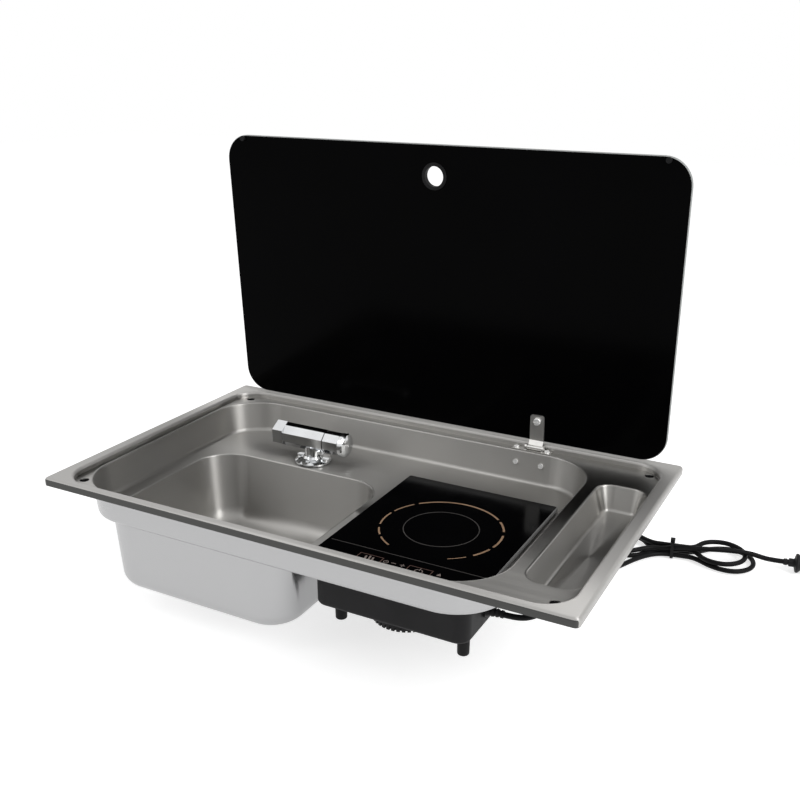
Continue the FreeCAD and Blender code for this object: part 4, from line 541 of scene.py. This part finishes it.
hob_links.new(hob_reach.outputs[0], hob_past.inputs[0])
hob_links.new(hob_past.outputs[0], hob_split.inputs[0])
hob_links.new(hob_split.outputs["X"], hob_most.inputs[0])
hob_links.new(hob_split.outputs["Y"], hob_most.inputs[1])
hob_links.new(hob_most.outputs[0], hob_edge.inputs[0])
overlay(hob_black, hob_edge.outputs[0], HOB_EDGE_TONE, 0.35)
dress(hob_black, "hob_glass")

# Hob print: a dashed cooking ring, a pan circle, a panel line and touch marks.
# They are ceramic ink fired onto the glass, drawn flat and given the thickness of the film.
PRINT_Z, INK_THICK = -0.037, 0.00006


def fired_ink(name, dark, light):
    """A ceramic ink: satin, with a tone of its own."""
    return finish(name, dark, light, 0.32, 0.45, (300.0, 300.0, 300.0), 30.0, 0.0, shine=0.3)


def ink(name, made, shapes):
    """Join flat shapes on the glass into one print with the thickness of the ink."""
    bpy.ops.object.select_all(action="DESELECT")
    for shape in shapes:
        shape.select_set(True)
    bpy.context.view_layer.objects.active = shapes[0]
    if len(shapes) > 1:
        bpy.ops.object.join()
    mark = bpy.context.active_object
    mark.name = name
    bpy.ops.object.transform_apply(location=True, rotation=True, scale=True)
    bpy.ops.object.mode_set(mode="EDIT")
    bpy.ops.mesh.select_mode(type="FACE")
    bpy.ops.mesh.select_all(action="DESELECT")
    bpy.ops.object.mode_set(mode="OBJECT")
    for face in mark.data.polygons:
        face.select = face.normal.z < 0.0
    bpy.ops.object.mode_set(mode="EDIT")
    bpy.ops.mesh.flip_normals()
    bpy.ops.object.mode_set(mode="OBJECT")
    film = mark.modifiers.new("film", "SOLIDIFY")
    film.thickness = INK_THICK
    film.offset = 1.0
    bpy.ops.object.modifier_apply(modifier="film")
    mark.data.materials.clear()
    mark.data.materials.append(made)
    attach(mark, "unit")
    bpy.ops.object.select_all(action="DESELECT")


def dashes(x, y, radius, wide, spans, steps=360):
    """A flat ring of ink round a point, kept only on the given spans of degrees."""
    bpy.ops.object.select_all(action="DESELECT")
    bpy.ops.mesh.primitive_circle_add(vertices=steps, radius=radius - wide / 2, fill_type="NOTHING",
                                      location=(x, y, PRINT_Z))
    ring = bpy.context.active_object
    grow = (radius + wide / 2) / (radius - wide / 2)
    bpy.ops.object.mode_set(mode="EDIT")
    bpy.ops.mesh.select_all(action="SELECT")
    bpy.ops.mesh.extrude_edges_move()
    bpy.ops.transform.resize(value=(grow, grow, 1.0), center_override=(x, y, PRINT_Z))
    bpy.ops.mesh.select_mode(type="FACE")
    bpy.ops.mesh.select_all(action="DESELECT")
    bpy.ops.object.mode_set(mode="OBJECT")
    for face in ring.data.polygons:
        turn = math.degrees(math.atan2(face.center.y, face.center.x))
        face.select = not any(a <= turn <= b or a <= turn + 360.0 <= b for a, b in spans)
    bpy.ops.object.mode_set(mode="EDIT")
    bpy.ops.mesh.delete(type="FACE")
    bpy.ops.object.mode_set(mode="OBJECT")
    return ring


def bar(x, y, wide, tall, turn=0.0):
    """A flat stroke of ink about a point."""
    bpy.ops.object.select_all(action="DESELECT")
    bpy.ops.mesh.primitive_plane_add(size=1.0, location=(x, y, PRINT_Z),
                                     rotation=(0.0, 0.0, math.radians(turn)))
    stroke = bpy.context.active_object
    stroke.scale = (wide, tall, 1.0)
    bpy.ops.object.transform_apply(location=False, rotation=False, scale=True)
    return stroke


def key_frame(x, y, wide, tall, line):
    """A box drawn in outline round a touch key."""
    box = bar(x, y, wide, tall)
    bpy.ops.object.mode_set(mode="EDIT")
    bpy.ops.mesh.select_mode(type="FACE")
    bpy.ops.mesh.select_all(action="SELECT")
    bpy.ops.mesh.inset(thickness=line)
    bpy.ops.mesh.delete(type="FACE")
    bpy.ops.object.mode_set(mode="OBJECT")
    return box


RING_X, RING_Y, RING_R = 0.112, -0.01725, 0.0766
ring_ink = fired_ink("ring_ink", (0.31, 0.195, 0.12), (0.40, 0.26, 0.165))
ink("hob_ring_print", ring_ink,
    [dashes(RING_X, RING_Y, RING_R, 0.0027,
            ((-35.5, -15.8), (-10.6, 13.9), (21.9, 42.3), (47.5, 138.5))),
     dashes(RING_X, RING_Y, RING_R, 0.0021,
            ((143.0, 167.0), (172.3, 198.3), (204.7, 218.7), (224.4, 241.0))),
     dashes(RING_X, RING_Y, RING_R, 0.0013, ((301.1, 317.5),))])
line_ink = fired_ink("line_ink", (0.055, 0.052, 0.050), (0.080, 0.075, 0.071))
ink("hob_circle_print", line_ink, [dashes(RING_X, RING_Y, 0.0468, 0.0012, ((0.0, 360.0),))])
ink("hob_panel_line", line_ink, [bar(0.110, -0.103, 0.206, 0.0010)])
frame_ink = fired_ink("frame_ink", (0.085, 0.050, 0.042), (0.115, 0.070, 0.058))
ink("hob_key_frames", frame_ink, [key_frame(0.0712, -0.1262, 0.0314, 0.0208, 0.0010),
                                  key_frame(0.1357, -0.1265, 0.0304, 0.0204, 0.0010)])
mark_ink = fired_ink("mark_ink", (0.20, 0.165, 0.15), (0.27, 0.225, 0.205))
ink("hob_key_marks", mark_ink,
    [bar(0.0665, -0.1245, 0.0022, 0.0090, 12.0), bar(0.0712, -0.1235, 0.0022, 0.0110, 12.0),
     bar(0.0759, -0.1245, 0.0022, 0.0090, 12.0),
     dashes(0.0925, -0.1225, 0.0028, 0.0008, ((0.0, 360.0),), 48), bar(0.0925, -0.1216, 0.0007, 0.0020),
     bar(0.1021, -0.1215, 0.0060, 0.0011),
     bar(0.1135, -0.1215, 0.0060, 0.0011), bar(0.1135, -0.1215, 0.0011, 0.0060),
     dashes(0.1357, -0.1250, 0.0046, 0.0011, ((115.0, 425.0),), 72), bar(0.1357, -0.1205, 0.0011, 0.0056),
     dashes(0.1600, -0.1215, 0.0020, 0.0030, ((0.0, 360.0),), 3)])

# Hob housing: a black moulded box under the tub, with its fan and guard, the cord gland and the plug.
# All are matt mouldings with a fine grain; the coil former inside is of the same plastic.
case_black = finish("case_black", (0.006, 0.0058, 0.0064), (0.012, 0.0116, 0.0127), 0.44, 0.62,
                    (1500.0, 1500.0, 1500.0), 22.0, 0.35, shine=0.18)
dress(case_black, "hob_housing", "fan_guard", "fan_motor", "fan_rotor", "cord_gland", "coil_former",
      "plug_body")

# Inside the hob: the copper work coil on its ferrites, a white sensor, two green boards and a heat sink.
# Wire springs carry the touch keys' signal to the glass, and the plug pins have the same plain metal.
coil_copper = finish("coil_copper", (0.42, 0.17, 0.08), (0.66, 0.30, 0.15), 0.25, 0.45,
                     (700.0, 700.0, 700.0), 200.0, 0.4, 1.0)
dress(coil_copper, "induction_coil")
ferrite = finish("ferrite_grey", (0.03, 0.03, 0.032), (0.06, 0.06, 0.062), 0.5, 0.7,
                 (900.0, 900.0, 900.0), 60.0, 0.3)
dress(ferrite, "ferrite_bars")
board_green = finish("board_green", (0.012, 0.07, 0.035), (0.02, 0.11, 0.055), 0.35, 0.5,
                     (500.0, 500.0, 500.0), 90.0, 0.2)
dress(board_green, "power_board", "control_board")
sink_metal = finish("sink_metal", (0.60, 0.61, 0.62), (0.72, 0.73, 0.74), 0.3, 0.45,
                    (20.0, 500.0, 500.0), 30.0, 0.2, 1.0)
dress(sink_metal, "heat_sink")
spring_steel = finish("spring_steel", (0.40, 0.40, 0.39), (0.58, 0.57, 0.56), 0.25, 0.4,
                      (400.0, 400.0, 2500.0), 90.0, 0.3, 1.0)
dress(spring_steel, "touch_springs", "plug_pins")
sensor_white = finish("sensor_white", (0.62, 0.62, 0.60), (0.74, 0.74, 0.72), 0.4, 0.55,
                      (900.0, 900.0, 900.0), 90.0, 0.2)
dress(sensor_white, "temperature_sensor")
